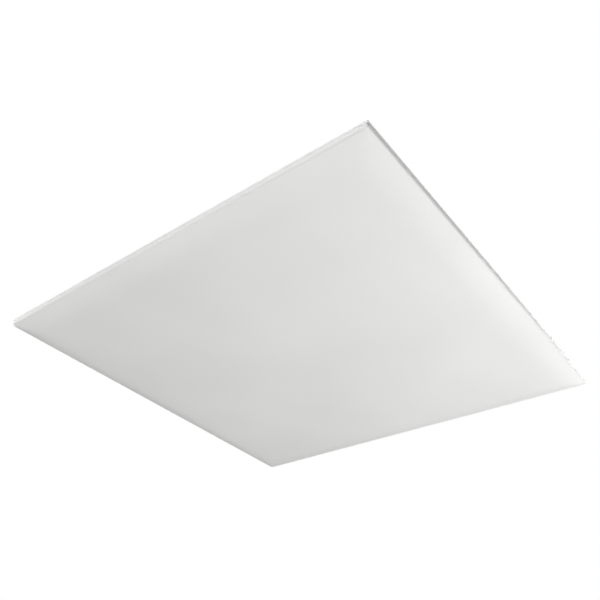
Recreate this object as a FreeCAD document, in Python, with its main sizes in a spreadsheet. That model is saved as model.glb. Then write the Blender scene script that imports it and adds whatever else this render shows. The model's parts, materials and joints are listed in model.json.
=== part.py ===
# Recessed ceiling light, 600 mm module, with a drop-down opal door.
# Millimetres, +Z up.  The origin is the middle of the opal's lowest face, which looks down
# into the room.  +X is the catch side of the door and -X is its hinge side.

import FreeCAD
import Part
import Sketcher
import math
import os
import re

doc = FreeCAD.newDocument("ceiling_light")
sheet = doc.addObject("Spreadsheet::Sheet", "Sizes")

# name: value.  Every driving dimension is written once, here.
sizes = {
    # opal tray: the soft white face and its side walls
    "panel_size": 595.0,
    "lens_depth": 15.0,
    "lens_wall": 2.2,
    "lens_crown": 8.0,
    "lens_flank": 45.0,
    "flank_power": 3.0,
    "shoulder_width": 2.5,
    "shoulder_rise": 2.6,
    "lens_corner": 3.0,
    "crown_corner": 22.0,
    # snap hooks moulded on the tray
    "hook_length": 18.0,
    "hook_end": 147.5,
    "hook_thick": 1.8,
    "hook_nose": 1.6,
    "hook_tip": 1.2,
    "hook_play": 0.4,
    "hook_gap": 0.3,
    # door frame rails
    "seat_gap": 0.2,
    "rim_height": 2.8,
    "rim_width": 1.5,
    "web_gap": 0.5,
    "rail_width": 12.0,
    "web_thick": 1.8,
    "plate_thick": 1.6,
    "foot_level": 10.6,
    "foot_thick": 1.4,
    "mitre_gap": 0.1,
    "key_leg": 36.0,
    "key_play": 0.1,
    "key_screw_radius": 1.5,
    "key_screw_place": 24.0,
    "key_screw_head": 0.7,
    "key_screw_lift": 0.6,
    # what every screw and every cut shares
    "screw_head_ratio": 1.7,
    "screw_head_height": 1.8,
    "cut_past": 1.0,
    # back housing, measured in from the door's edge
    "door_gap": 1.3,
    "sheet_thick": 1.2,
    "flange_inset": 9.5,
    "mouth_inset": 16.0,
    "crest_inset": 22.0,
    "pan_depth": 42.0,
    "gasket_thick": 2.0,
    "gasket_width": 11.0,
    "gasket_play": 0.5,
    # door hinges
    "hinge_inset": 4.0,
    "hinge_end": 97.5,
    "hinge_room": 0.6,
    "knuckle_radius": 2.0,
    "knuckle_length": 6.0,
    "knuckle_play": 0.4,
    "pin_radius": 1.0,
    "pin_play": 0.05,
    "eye_length": 10.0,
    "arm_reach": 7.0,
    "leaf_thick": 1.4,
    "leaf_margin": 0.5,
    "weld_lap": 0.1,
    # magnetic catches
    "magnet_length": 40.0,
    "magnet_width": 9.0,
    "magnet_height": 4.5,
    "magnet_inset": 4.5,
    "magnet_end": 107.5,
    "keeper_thick": 1.5,
    "keeper_gap": 0.4,
    "keeper_margin": 0.5,
    # ceiling clamps, one quarter turn each
    "board_thick": 12.5,
    "clamp_inset": 11.0,
    "clamp_end": 187.5,
    "clamp_shaft_radius": 2.5,
    "clamp_head_radius": 4.5,
    "clamp_head_height": 1.7,
    "clamp_head_gap": 0.3,
    "clamp_slot_width": 1.2,
    "clamp_slot_depth": 0.9,
    "clamp_arm_length": 38.0,
    "clamp_arm_width": 10.0,
    "clamp_arm_thick": 4.0,
    "clamp_hub_rise": 2.0,
    "clamp_proud": 4.0,
    "clamp_play": 0.4,
    "bush_wall": 1.2,
    "bush_gap": 0.4,
    "bush_play": 0.3,
    # light engine
    "board_margin": 20.0,
    "board_width": 24.0,
    "board_height": 1.6,
    "led_size": 3.0,
    "led_height": 0.7,
    "optic_radius": 7.5,
    "optic_height": 5.6,
    "optic_rim": 1.7,
    "optic_hollow": 2.7,
    "optic_gap": 0.8,
    "film_margin": 6.0,
    "film_thick": 0.6,
    "film_drop": 3.0,
    "film_hole_radius": 8.6,
    "connector_length": 10.0,
    "connector_width": 8.0,
    "connector_height": 2.6,
    "jumper_radius": 0.7,
    "jumper_spread": 2.5,
    "rivet_radius": 1.6,
    "rivet_head_radius": 4.0,
    "rivet_head_thick": 1.0,
    "rivet_collar": 1.2,
    # gear box on the back
    "box_length": 340.0,
    "box_width": 112.0,
    "box_height": 36.0,
    "box_sheet": 1.0,
    "box_lip": 12.0,
    "inlet_radius": 10.0,
    "inlet_place_y": -28.0,
    "inlet_lift": 0.6,
    "bush_flange": 2.0,
    "rim_gap": 0.1,
    "plug_cap": 1.5,
    "plug_reach": 1.0,
    "lead_hole_radius": 4.0,
    "lead_hole_inset": 18.0,
    # hinged cover of the box
    "cover_rest": 0.3,
    "cover_lip": 9.0,
    "cover_lip_end": 6.0,
    "cover_play": 0.4,
    "cover_screw_radius": 2.0,
    "cover_screw_length": 6.0,
    "cover_screw_head": 2.4,
    "cover_screw_slot": 1.0,
    "cover_screw_play": 0.9,
    "cover_hinge_length": 240.0,
    "cover_hinge_drop": 15.0,
    "cover_hinge_edge": 0.8,
    "cover_hinge_lap": 1.5,
    "cover_knuckle_radius": 2.6,
    "cover_pin_radius": 1.2,
    # cable saddle
    "saddle_width": 26.0,
    "saddle_length": 10.0,
    "saddle_radius": 5.0,
    "saddle_shoulder": 5.2,
    "saddle_thick": 1.8,
    "saddle_play": 0.5,
    "saddle_ear": 2.8,
    "saddle_place_x": 132.0,
    "saddle_screw_radius": 1.7,
    # earth terminal
    "stud_place_x": 94.0,
    "stud_place_y": 12.0,
    "stud_radius": 2.0,
    "stud_height": 12.0,
    "washer_radius": 4.4,
    "washer_lift": 2.2,
    "washer_thick": 1.0,
    "nut_radius": 3.8,
    "nut_height": 3.2,
    # driver
    "driver_length": 160.0,
    "driver_width": 42.0,
    "driver_height": 25.0,
    "driver_sheet": 0.8,
    "driver_play": 0.3,
    "driver_place_x": -72.0,
    "driver_place_y": 16.0,
    "driver_ear": 12.0,
    "driver_board_lift": 2.0,
    "driver_board_thick": 1.6,
    "driver_mouth_height": 12.0,
    "driver_mouth_depth": 4.0,
    "driver_mouth_margin": 3.0,
    # what stands on the driver's board, placed from its middle
    "choke_place": -20.0,
    "choke_length": 22.0,
    "choke_width": 24.0,
    "choke_height": 15.0,
    "coil_radius": 8.0,
    "capacitor_place": 22.0,
    "capacitor_spread": 8.0,
    "tall_capacitor_radius": 5.5,
    "tall_capacitor_height": 15.0,
    "small_capacitor_radius": 4.0,
    "small_capacitor_height": 12.0,
    "sink_place": -52.0,
    "sink_length": 16.0,
    "sink_thick": 3.0,
    "sink_height": 14.0,
    "port_length": 14.0,
    "port_width": 15.0,
    "port_height": 8.0,
    "port_spread": 9.0,
    # terminals
    "block_place_x": 54.0,
    "block_place_y": -22.0,
    "terminal_width": 9.0,
    "terminal_length": 26.0,
    "terminal_height": 15.0,
    "terminal_wall": 1.0,
    "terminal_bore_depth": 7.0,
    "supply_radius": 1.9,
    "lever_length": 13.0,
    "lever_width": 6.0,
    "lever_thick": 2.4,
    "lever_pin_radius": 1.0,
    "lever_pin_reach": 0.5,
    "lever_heel": 3.2,
    "lever_tip": 2.0,
    "lever_play": 0.4,
    # wires inside the box
    "lead_radius": 1.1,
    "lead_play": 0.4,
    "lead_bend": 4.0,
    "lead_spread": 4.0,
    "mains_run": 14.0,
    "mains_inset": 1.0,
    "output_clear": 1.6,
    "output_spread": 3.0,
    "output_drop": 4.0,
    # hanging eyes for safety wires
    "hanger_width": 16.0,
    "hanger_height": 18.0,
    "hanger_hole_radius": 2.6,
    "hanger_hole_drop": 3.0,
    "hanger_inset_x": 50.0,
    "hanger_inset_y": 35.0,
}


def fillSheet():
    row = 1
    for name, number in sizes.items():
        sheet.set("A%d" % row, name)
        sheet.set("B%d" % row, repr(number))
        sheet.setAlias("B%d" % row, name)
        row += 1
    doc.recompute()


fillSheet()


def bound(text):
    # a formula in plain names, with each name turned into its cell of the sheet
    return re.sub(r"[a-z][a-z_]+", lambda found: cell(found.group(0)), str(text))


def cell(name):
    return "Sizes." + name if name in sizes else name


def size(name):
    return float(sheet.get(name))


def number(text):
    # what a formula comes to at the present sizes
    return float(sheet.evalExpression(bound(text)))


# ---- levels above the opal's lowest face and half widths, worked out from the sizes ----

rimBottom = "(lens_depth + seat_gap)"
doorTop = "(lens_depth + seat_gap + rim_height)"
flangeBottom = "(" + doorTop + " + door_gap)"
flangeTop = "(" + flangeBottom + " + sheet_thick)"
ceilingLevel = "(" + flangeTop + " + gasket_thick)"
panInside = "(" + flangeBottom + " + pan_depth)"
panTop = "(" + panInside + " + sheet_thick)"
boardBottom = "(" + panInside + " - board_height)"
filmTop = "(" + boardBottom + " - film_drop)"
filmBottom = "(" + filmTop + " - film_thick)"
boxFloor = "(" + panTop + " + box_sheet)"
boxTop = "(" + panTop + " + box_height)"
inletLevel = "(" + boxFloor + " + inlet_radius + bush_flange + inlet_lift)"
footTop = "(foot_level + foot_thick)"

panelHalf = "(panel_size / 2)"
webInner = "(lens_wall + web_gap + web_thick)"
flangeHalf = "(panel_size / 2 - flange_inset)"
mouthHalf = "(" + flangeHalf + " - mouth_inset)"
crestHalf = "(" + mouthHalf + " - crest_inset)"
boardHalf = "(" + crestHalf + " - board_margin)"
filmHalf = "(" + crestHalf + " - film_margin)"
# how far hooks, hinges, magnets and clamps stand from the middle of a side
hookSpread = "(panel_size / 2 - hook_end)"
hingeSpread = "(panel_size / 2 - hinge_end)"
magnetSpread = "(panel_size / 2 - magnet_end)"
clampSpread = "(panel_size / 2 - clamp_end)"
clampX = "(" + flangeHalf + " - clamp_inset)"
leadHoleX = "(box_length / 2 - lead_hole_inset)"

ledRows = range(4)
ledColumns = range(6)
boardPitch = "(2 * %s / %d)" % (boardHalf, len(ledRows))
ledPitch = "(2 * %s / %d)" % (boardHalf, len(ledColumns))
connectorX = "(2 * " + ledPitch + ")"


# ---- helpers ----

def about(middle, half):
    # the two ends of a span that lies half to each side of a middle
    return "%s - (%s)" % (middle, half), "%s + (%s)" % (middle, half)


def block(name, x, y, z):
    # A box between two formulas along each axis.
    made = doc.addObject("Part::Box", name)
    spans = (("Length", "x", x), ("Width", "y", y), ("Height", "z", z))
    for length, axis, (start, end) in spans:
        made.setExpression(length, bound("(%s) - (%s)" % (end, start)))
        made.setExpression("Placement.Base." + axis, bound(start))
    return made


axisTurns = {
    "X": FreeCAD.Rotation(FreeCAD.Vector(0, 1, 0), 90),
    "Y": FreeCAD.Rotation(FreeCAD.Vector(1, 0, 0), -90),
    "Z": FreeCAD.Rotation(),
}


def rod(name, radius, length, x, y, z, axis="Z"):
    # A cylinder that starts at x, y, z and runs along an axis.
    made = doc.addObject("Part::Cylinder", name)
    made.Placement.Rotation = axisTurns[axis]
    made.setExpression("Radius", bound(radius))
    made.setExpression("Height", bound(length))
    setBase(made, x, y, z)
    return made


def setBase(thing, x, y, z):
    thing.setExpression("Placement.Base.x", bound(x))
    thing.setExpression("Placement.Base.y", bound(y))
    thing.setExpression("Placement.Base.z", bound(z))


def cut(name, base, *tools):
    made = doc.addObject("Part::Cut", name)
    made.Base = base
    made.Tool = tools[0] if len(tools) == 1 else fuse(name + "_tools", *tools)
    return made


def fuse(name, *pieces):
    made = doc.addObject("Part::MultiFuse", name)
    made.Shapes = list(pieces)
    return made


def group(name, pieces):
    # Identical loose pieces kept in one node.
    made = doc.addObject("Part::Compound", name)
    made.Links = list(pieces)
    return node(name, made)


nodes = {}


def node(name, thing):
    thing.Label = name
    nodes[name] = thing
    return thing


# ---- door: the opal tray ----

def roundedSquare(half, level, corner):
    # A closed wire: a square with round corners, level above the lowest face.
    flat = half - corner
    turn = corner * math.sqrt(0.5)
    edges = []
    for quarter in range(4):
        spin = FreeCAD.Rotation(FreeCAD.Vector(0, 0, 1), 90 * quarter)
        start = spin.multVec(FreeCAD.Vector(half, -flat, 0))
        end = spin.multVec(FreeCAD.Vector(half, flat, 0))
        middle = spin.multVec(FreeCAD.Vector(flat + turn, flat + turn, 0))
        after = spin.multVec(FreeCAD.Vector(flat, half, 0))
        edges.append(Part.LineSegment(start, end).toShape())
        edges.append(Part.Arc(end, middle, after).toShape())
    wire = Part.Wire(edges)
    wire.translate(FreeCAD.Vector(0, 0, level))
    return wire


def crownLevel(inset):
    # Height of the soft flank at a distance in from the outer face.
    return size("lens_crown") * (1 - inset / size("lens_flank")) ** size("flank_power")


shoulderSteps = 4
flankSteps = 8


def lensStations(shell):
    # Inset, level and corner radius down the outside; shell moves them in for the inside.
    wide = size("shoulder_width")
    rise = size("shoulder_rise")
    flank = size("lens_flank")
    corner = size("lens_corner")
    spread = size("crown_corner") - corner
    foot = crownLevel(wide)
    stations = []
    for step in range(shoulderSteps):
        angle = math.radians(90 * step / shoulderSteps)
        stations.append((wide * (1 - math.cos(angle)), foot + rise * (1 - math.sin(angle)), corner))
    for step in range(flankSteps + 1):
        along = step / flankSteps
        inset = wide + (flank - wide) * along
        stations.append((inset, crownLevel(inset), corner + spread * along))
    half = size("panel_size") / 2
    return [(half - shell - inset, level + shell, max(radius - shell, 0.5))
            for inset, level, radius in stations]


def traySolid(shell, top):
    stations = lensStations(shell)
    side, shoulderTop, corner = stations[0]
    wires = [roundedSquare(*station) for station in stations]
    bowl = Part.makeLoft(wires, True, True)
    wall = Part.Face(wires[0]).extrude(FreeCAD.Vector(0, 0, top - shoulderTop))
    return bowl.fuse(wall)


def hookSolid():
    # A moulded hook that snaps over the foot of a rail, at +X.
    half = size("panel_size") / 2
    inner = half - size("rail_width") - size("hook_play")
    thick = size("hook_thick")
    tip = size("hook_tip")
    root = crownLevel(size("rail_width") + thick / 2) + size("lens_wall") / 2
    over = size("foot_level") + size("foot_thick") + size("hook_gap")
    length = size("hook_length")
    post = Part.makeBox(thick, length, over + tip - root,
                        FreeCAD.Vector(inner - thick, -length / 2, root))
    nose = Part.makeBox(thick + size("hook_nose"), length, tip,
                        FreeCAD.Vector(inner - thick, -length / 2, over))
    return post.fuse(nose)


def makeLens():
    tray = traySolid(0.0, size("lens_depth"))
    hollow = traySolid(size("lens_wall"), size("lens_depth") + size("cut_past"))
    shape = tray.cut(hollow)
    hooks = []
    for quarter in range(4):
        for side in (-1, 1):
            hook = hookSolid()
            hook.translate(FreeCAD.Vector(0, side * number(hookSpread), 0))
            hook.rotate(FreeCAD.Vector(0, 0, 0), FreeCAD.Vector(0, 0, 1), 90 * quarter)
            hooks.append(hook)
    made = doc.addObject("Part::Feature", "lens")
    made.Shape = shape.fuse(hooks).removeSplitter()
    made.Placement = FreeCAD.Placement()
    node("opal_lens", made)


# ---- door: the four mitred rails and what joins them ----

def originPlane(body, role):
    return [part for part in body.Origin.OriginFeatures if part.Role == role][0]


def outline(body, name, plane, points):
    # A closed sketch through points that are pairs of formulas.
    sketch = body.newObject("Sketcher::SketchObject", name)
    sketch.AttachmentSupport = [(originPlane(body, plane), "")]
    sketch.MapMode = "FlatFace"
    count = len(points)
    # any small polygon will do to start from: the constraints below put each corner in its place
    start = size("rail_width")
    turns = [2 * math.pi * k / count for k in range(count)]
    corners = [FreeCAD.Vector(start * math.cos(turn), start * math.sin(turn), 0) for turn in turns]
    for k in range(count):
        sketch.addGeometry(Part.LineSegment(corners[k], corners[(k + 1) % count]))
    for k in range(count):
        sketch.addConstraint(Sketcher.Constraint("Coincident", k, 2, (k + 1) % count, 1))
    for k, (across, up) in enumerate(points):
        for kind, text in (("DistanceX", across), ("DistanceY", up)):
            here = corners[k].x if kind == "DistanceX" else corners[k].y
            index = sketch.addConstraint(Sketcher.Constraint(kind, -1, 1, k, 1, here))
            sketch.setExpression("Constraints[%d]" % index, bound(text))
    return sketch


def turned(thing, quarters):
    thing.Placement = FreeCAD.Placement(
        FreeCAD.Vector(), FreeCAD.Rotation(FreeCAD.Vector(0, 0, 1), 90 * quarters))
    return thing


def railProfile():
    outer = "panel_size / 2"
    rim = outer + " - lens_wall - web_gap"
    web = outer + " - " + webInner
    inner = outer + " - rail_width"
    under = doorTop + " - plate_thick"
    return [(outer, rimBottom), (outer, doorTop), (inner, doorTop), (inner, under), (web, under),
            (web, footTop), (inner, footTop), (inner, "foot_level"), (rim, "foot_level"),
            (rim, rimBottom)]


def mitreTool(name, side):
    # a block whose lower face is the mitre plane of one end
    tool = doc.addObject("Part::Box", name)
    tool.setExpression("Length", bound("6 * rail_width"))
    tool.setExpression("Width", bound("6 * rail_width"))
    tool.setExpression("Height", bound("lens_depth + rim_height + 10"))
    turn = 45 if side > 0 else -135
    tool.Placement.Rotation = FreeCAD.Rotation(FreeCAD.Vector(0, 0, 1), turn)
    back = "3 * rail_width"
    if side > 0:
        setBase(tool, "panel_size / 2 - " + back, "panel_size / 2 - %s - mitre_gap" % back, "0")
        return tool
    # the far end is the same block seen in a mirror, so it starts past the corner
    setBase(tool, "panel_size / 2 + " + back, "mitre_gap - panel_size / 2 - " + back, "0")
    tool.Placement.Rotation = FreeCAD.Rotation(FreeCAD.Vector(0, 0, 1), -225)
    return tool


def keyScrewPlaces():
    across = "(panel_size / 2 - rail_width / 2 - %s / 2)" % webInner
    along = "(panel_size / 2 - key_screw_place)"
    return across, along


def makeRail(name, quarters, hinged):
    body = doc.addObject("PartDesign::Body", name + "_body")
    sketch = outline(body, name + "_profile", "XZ_Plane", railProfile())
    pad = body.newObject("PartDesign::Pad", name + "_length")
    pad.Profile = sketch
    pad.SideType = "Symmetric"
    pad.setExpression("Length", bound("panel_size"))
    sketch.Visibility = False
    tools = [mitreTool(name + "_mitre_a", 1), mitreTool(name + "_mitre_b", -1)]
    across, along = keyScrewPlaces()
    for k, side in enumerate(("1", "-1")):
        tools.append(rod("%s_key_hole_%d" % (name, k), "key_screw_radius + pin_play", "2 * plate_thick",
                         across, "%s * %s" % (side, along), doorTop + " - 1.5 * plate_thick"))
    if hinged:
        for k, side in enumerate(("1", "-1")):
            inner = "panel_size / 2 - hinge_inset - knuckle_radius - hinge_room"
            tools.append(block("%s_hinge_notch_%d" % (name, k), (inner, "panel_size / 2 - rim_width"),
                               about("%s * %s" % (side, hingeSpread), hingeReach + " + leaf_margin"),
                               (doorTop + " - knuckle_radius - knuckle_play", doorTop + " + cut_past")))
    node(name, turned(cut(name + "_cut", body, *tools), quarters))


def makeRails():
    for name, quarters, hinged in (("door_rail_catch_side", 0, False), ("door_rail_rear", 1, False),
                                   ("door_rail_hinge_side", 2, True), ("door_rail_front", 3, False)):
        makeRail(name, quarters, hinged)


def cornerKey(quarter):
    name = "corner_key_%d" % quarter
    outer = "panel_size / 2 - %s - key_play" % webInner
    inner = "panel_size / 2 - rail_width"
    end = "panel_size / 2 - key_leg"
    level = (footTop + " + key_play", doorTop + " - plate_thick - key_play")
    legs = fuse(name + "_legs", block(name + "_leg_a", (inner, outer), (end, outer), level),
                block(name + "_leg_b", (end, outer), (inner, outer), level))
    across, along = keyScrewPlaces()
    holes = [rod("%s_hole_%d" % (name, k), "key_screw_radius", "plate_thick * 6", x, y, "foot_level")
             for k, (x, y) in enumerate(((across, along), (along, across)))]
    return turned(cut(name, legs, *holes), quarter)


def cornerScrew(name, x, y):
    shank = rod(name + "_shank", "key_screw_radius", doorTop + " - %s - key_screw_lift" % footTop, x, y,
                footTop + " + key_screw_lift")
    head = rod(name + "_head", "key_screw_radius * screw_head_ratio", "key_screw_head", x, y, doorTop)
    return fuse(name, shank, head)


def makeCorners():
    group("corner_keys", [cornerKey(quarter) for quarter in range(4)])
    across, along = keyScrewPlaces()
    screws = []
    for quarter in range(4):
        for k, (x, y) in enumerate(((across, along), (along, across))):
            screws.append(turned(cornerScrew("corner_screw_%d_%d" % (quarter, k), x, y), quarter))
    group("corner_screws", screws)


# ---- hinges of the door, drawn at +X and turned to the -X side ----

hingeReach = "(eye_length / 2 + knuckle_play + knuckle_length)"
pinX = "(panel_size / 2 - hinge_inset)"


def hingeKnuckle(name, start, length, middle):
    return rod(name, "knuckle_radius", length, pinX, "%s + %s" % (middle, start), doorTop, "Y")


def makeDoorLeaf(index, middle):
    name = "door_hinge_leaf_%d" % index
    top = doorTop + " - plate_thick"
    inner = "panel_size / 2 - rail_width + leaf_margin"
    outer = "panel_size / 2 - %s - key_play" % webInner
    plate = block(name + "_plate", (inner, pinX + " - knuckle_radius - hinge_room"),
                  about(middle, hingeReach), (top + " - leaf_thick", top))
    pieces = [plate]
    spans = (("eye_length / 2 + knuckle_play", hingeReach),
             ("-1 * " + hingeReach, "-1 * eye_length / 2 - knuckle_play"))
    for k, (start, end) in enumerate(spans):
        across = ("%s + %s" % (middle, start), "%s + %s" % (middle, end))
        tongueStart = pinX + " - knuckle_radius - hinge_room - knuckle_play"
        pieces.append(block("%s_tongue_%d" % (name, k), (tongueStart, outer), across,
                            (top + " - leaf_thick", top)))
        pieces.append(block("%s_riser_%d" % (name, k), (pinX + " - knuckle_radius", outer), across,
                            (top + " - leaf_thick", doorTop)))
        pieces.append(hingeKnuckle("%s_knuckle_%d" % (name, k), start, "knuckle_length", middle))
    bore = rod(name + "_bore", "pin_radius", "2 * (%s + cut_past)" % hingeReach, pinX,
               "%s - %s - cut_past" % (middle, hingeReach), doorTop, "Y")
    return node(name, turned(cut(name + "_cut", fuse(name + "_all", *pieces), bore), 2))


def makeHousingArm(index, middle):
    name = "housing_hinge_arm_%d" % index
    width = about(middle, "eye_length / 2")
    top = flangeTop + " + leaf_thick"
    webOuter = pinX + " - knuckle_radius / 4"
    plate = block(name + "_plate", (flangeHalf + " - arm_reach", webOuter), width, (flangeTop, top))
    web = block(name + "_web", (pinX + " - knuckle_radius + weld_lap", webOuter), width, (doorTop, top))
    eye = hingeKnuckle(name + "_eye", "-1 * eye_length / 2", "eye_length", middle)
    bore = rod(name + "_bore", "pin_radius + pin_play", "eye_length + 2 * cut_past", pinX,
               "%s - eye_length / 2 - cut_past" % middle, doorTop, "Y")
    return node(name, turned(cut(name + "_cut", fuse(name + "_all", plate, web, eye), bore), 2))


def makeHinges():
    pins = []
    for index, middle in ((1, hingeSpread), (2, "-1 * " + hingeSpread)):
        makeDoorLeaf(index, middle)
        makeHousingArm(index, middle)
        pins.append(rod("door_hinge_pin_%d" % index, "pin_radius", "2 * " + hingeReach, "-1 * " + pinX,
                        "%s - %s" % (middle, hingeReach), doorTop, "Y"))
    group("door_hinge_pins", pins)


# ---- magnetic catches ----

def makeCatches():
    magnets = []
    keepers = []
    outer = flangeHalf + " - magnet_inset"
    inner = outer + " - magnet_width"
    keeperTop = flangeBottom + " - magnet_height - keeper_gap"
    for index, middle in ((1, magnetSpread), (2, "-1 * " + magnetSpread)):
        along = about(middle, "magnet_length / 2")
        magnets.append(block("magnet_%d" % index, (inner, outer), along,
                             (flangeBottom + " - magnet_height", flangeBottom)))
        web = "panel_size / 2 - " + webInner + " - key_play"
        plate = block("keeper_%d_plate" % index, (inner + " - keeper_margin", web), along,
                      (keeperTop + " - keeper_thick", keeperTop))
        leg = block("keeper_%d_leg" % index, ("panel_size / 2 - rail_width", web), along,
                    (footTop, keeperTop + " - keeper_thick"))
        keepers.append(fuse("keeper_%d" % index, plate, leg))
    group("catch_magnets", magnets)
    group("catch_keepers", keepers)


# ---- back housing ----

def frustum(name, low, lowHalf, high, highHalf):
    made = doc.addObject("Part::Wedge", name)
    made.Placement.Rotation = FreeCAD.Rotation(FreeCAD.Vector(1, 0, 0), 90)
    for place, text in (("Ymin", low), ("Ymax", high), ("Xmin", "-1 * (%s)" % lowHalf), ("Xmax", lowHalf),
                        ("Zmin", "-1 * (%s)" % lowHalf), ("Zmax", lowHalf),
                        ("X2min", "-1 * (%s)" % highHalf), ("X2max", highHalf),
                        ("Z2min", "-1 * (%s)" % highHalf), ("Z2max", highHalf)):
        made.setExpression(place, bound(text))
    return made


corners = (("1", "1"), ("-1", "1"), ("-1", "-1"), ("1", "-1"))


def centred(half):
    return "-1 * %s" % half, half


def past(low, high):
    # a span let out at both ends, for a tool that cuts right through
    return low + " - cut_past", high + " + cut_past"


def holeThrough(name, radius, x, y, low, high):
    # a round tool that cuts through everything between two levels
    return rod(name, radius, "%s - (%s) + 2 * cut_past" % (high, low), x, y, low + " - cut_past")


def makeHousing():
    skin = frustum("pan_outside", flangeBottom, mouthHalf, panTop, crestHalf)
    hollow = frustum("pan_inside", flangeBottom, mouthHalf + " - sheet_thick", panInside,
                     crestHalf + " - sheet_thick")
    flange = block("pan_flange", centred(flangeHalf), centred(flangeHalf), (flangeBottom, flangeTop))
    holes = [hollow]
    for k, (x, y) in enumerate(corners):
        holes.append(holeThrough("pan_clamp_hole_%d" % k, "clamp_shaft_radius + pin_play + bush_wall",
                                 "%s * %s" % (x, clampX), "%s * %s" % (y, clampSpread),
                                 flangeBottom, flangeTop))
    holes.append(holeThrough("pan_lead_hole", "lead_hole_radius", leadHoleX, "0", panInside, panTop))
    node("housing_pan", cut("pan_cut", fuse("pan_solid", skin, flange), *holes))


def makeGasket():
    inner = "(" + flangeHalf + " - gasket_width)"
    level = (flangeTop, ceilingLevel)
    ring = cut("gasket_ring", block("gasket_outer", centred(flangeHalf), centred(flangeHalf), level),
               block("gasket_hole", centred(inner), centred(inner), past(*level)))
    tools = []
    for k, (x, y) in enumerate(corners):
        radius = "clamp_shaft_radius + pin_play + bush_wall + bush_play"
        tools.append(holeThrough("gasket_clamp_hole_%d" % k, radius, "%s * %s" % (x, clampX),
                                 "%s * %s" % (y, clampSpread), *level))
    reach = ("-1 * %s - cut_past" % flangeHalf, "arm_reach + gasket_play - " + flangeHalf)
    for k, middle in enumerate((hingeSpread, "-1 * " + hingeSpread)):
        width = about(middle, "eye_length / 2 + gasket_play")
        tools.append(block("gasket_arm_notch_%d" % k, reach, width, past(*level)))
    node("ceiling_gasket", cut("gasket_cut", ring, *tools))


def makeHangers():
    hangers = []
    half = "hanger_width / 2"
    for k, (x, y) in enumerate(corners):
        middleX = "%s * (%s - hanger_inset_x)" % (x, crestHalf)
        middleY = "%s * (%s - hanger_inset_y)" % (y, crestHalf)
        name = "hanger_%d" % k
        foot = block(name + "_foot", about(middleX, half), about(middleY, half),
                     (panTop, panTop + " + sheet_thick"))
        tab = block(name + "_tab", about(middleX, half), about(middleY, "sheet_thick / 2"),
                    (panTop, panTop + " + hanger_height"))
        hole = rod(name + "_hole", "hanger_hole_radius", "sheet_thick + 2 * cut_past", middleX,
                   middleY + " - sheet_thick / 2 - cut_past",
                   panTop + " + hanger_height - hanger_hole_radius - hanger_hole_drop", "Y")
        hangers.append(cut(name, fuse(name + "_both", foot, tab), hole))
    group("hanger_tabs", hangers)


# ---- quarter-turn clamps that grip the ceiling board ----

armBottom = "(" + ceilingLevel + " + board_thick + clamp_play)"


def makeClamp(index, x, y):
    middleX = "%s * %s" % (x, clampX)
    middleY = "%s * %s" % (y, clampSpread)
    name = "clamp_shaft_%d" % index
    headTop = flangeBottom + " - clamp_head_gap"
    stem = rod(name + "_stem", "clamp_shaft_radius",
               armBottom + " + clamp_arm_thick + clamp_proud - (%s)" % headTop, middleX, middleY, headTop)
    head = rod(name + "_head", "clamp_head_radius", "clamp_head_height", middleX, middleY,
               headTop + " - clamp_head_height")
    face = headTop + " - clamp_head_height"
    slot = block(name + "_slot", about(middleX, "clamp_slot_width / 2"),
                 about(middleY, "clamp_head_radius + cut_past"),
                 (face + " - cut_past", face + " + clamp_slot_depth"))
    node(name, cut(name + "_cut", fuse(name + "_solid", stem, head), slot))
    name = "clamp_arm_%d" % index
    reach = "-1 * %s * (clamp_arm_length - clamp_arm_width)" % y
    level = (armBottom, armBottom + " + clamp_arm_thick")
    ends = ("%s" % middleY, middleY + " + " + reach)
    if y == "1":
        ends = (ends[1], ends[0])
    bar = block(name + "_bar", about(middleX, "clamp_arm_width / 2"), ends, level)
    hub = rod(name + "_hub", "clamp_arm_width / 2", "clamp_arm_thick + clamp_hub_rise", middleX, middleY,
              armBottom)
    tip = rod(name + "_tip", "clamp_arm_width / 2", "clamp_arm_thick", middleX, middleY + " + " + reach,
              armBottom)
    bore = holeThrough(name + "_bore", "clamp_shaft_radius", middleX, middleY, armBottom,
                       armBottom + " + clamp_arm_thick + clamp_hub_rise")
    node(name, cut(name + "_cut", fuse(name + "_solid", bar, hub, tip), bore))


def makeClamps():
    bushes = []
    for k, (x, y) in enumerate(corners):
        makeClamp(k + 1, x, y)
        middle = ("%s * %s" % (x, clampX), "%s * %s" % (y, clampSpread))
        name = "clamp_bush_%d" % k
        tube = rod(name + "_tube", "clamp_shaft_radius + pin_play + bush_wall",
                   "%s - bush_gap - %s" % (armBottom, flangeBottom), *middle, flangeBottom)
        bore = holeThrough(name + "_bore", "clamp_shaft_radius + pin_play", *middle, flangeBottom,
                           armBottom)
        bushes.append(cut(name, tube, bore))
    group("clamp_bushes", bushes)


# ---- light engine ----

def rowPlace(row):
    return "%s * %s" % (row - (len(ledRows) - 1) / 2, boardPitch)


def columnPlace(column):
    return "%s * %s" % (column - (len(ledColumns) - 1) / 2, ledPitch)


rivetPlaces = ["%d * %s" % (step, ledPitch) for step in (-1, 0, 1)]


def makeBoards():
    for row in ledRows:
        name = "led_board_%d" % (row + 1)
        board = block(name + "_sheet", centred(boardHalf), about(rowPlace(row), "board_width / 2"),
                      (boardBottom, panInside))
        holes = [holeThrough("%s_hole_%d" % (name, k), "rivet_radius + pin_play", place, rowPlace(row),
                             boardBottom, panInside) for k, place in enumerate(rivetPlaces)]
        node(name, cut(name + "_cut", board, *holes))


def makeChips():
    chips = [block("chip_%d_%d" % (row, column), about(columnPlace(column), "led_size / 2"),
                   about(rowPlace(row), "led_size / 2"), (boardBottom + " - led_height", boardBottom))
             for row in ledRows for column in ledColumns]
    group("led_chips", chips)


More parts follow.
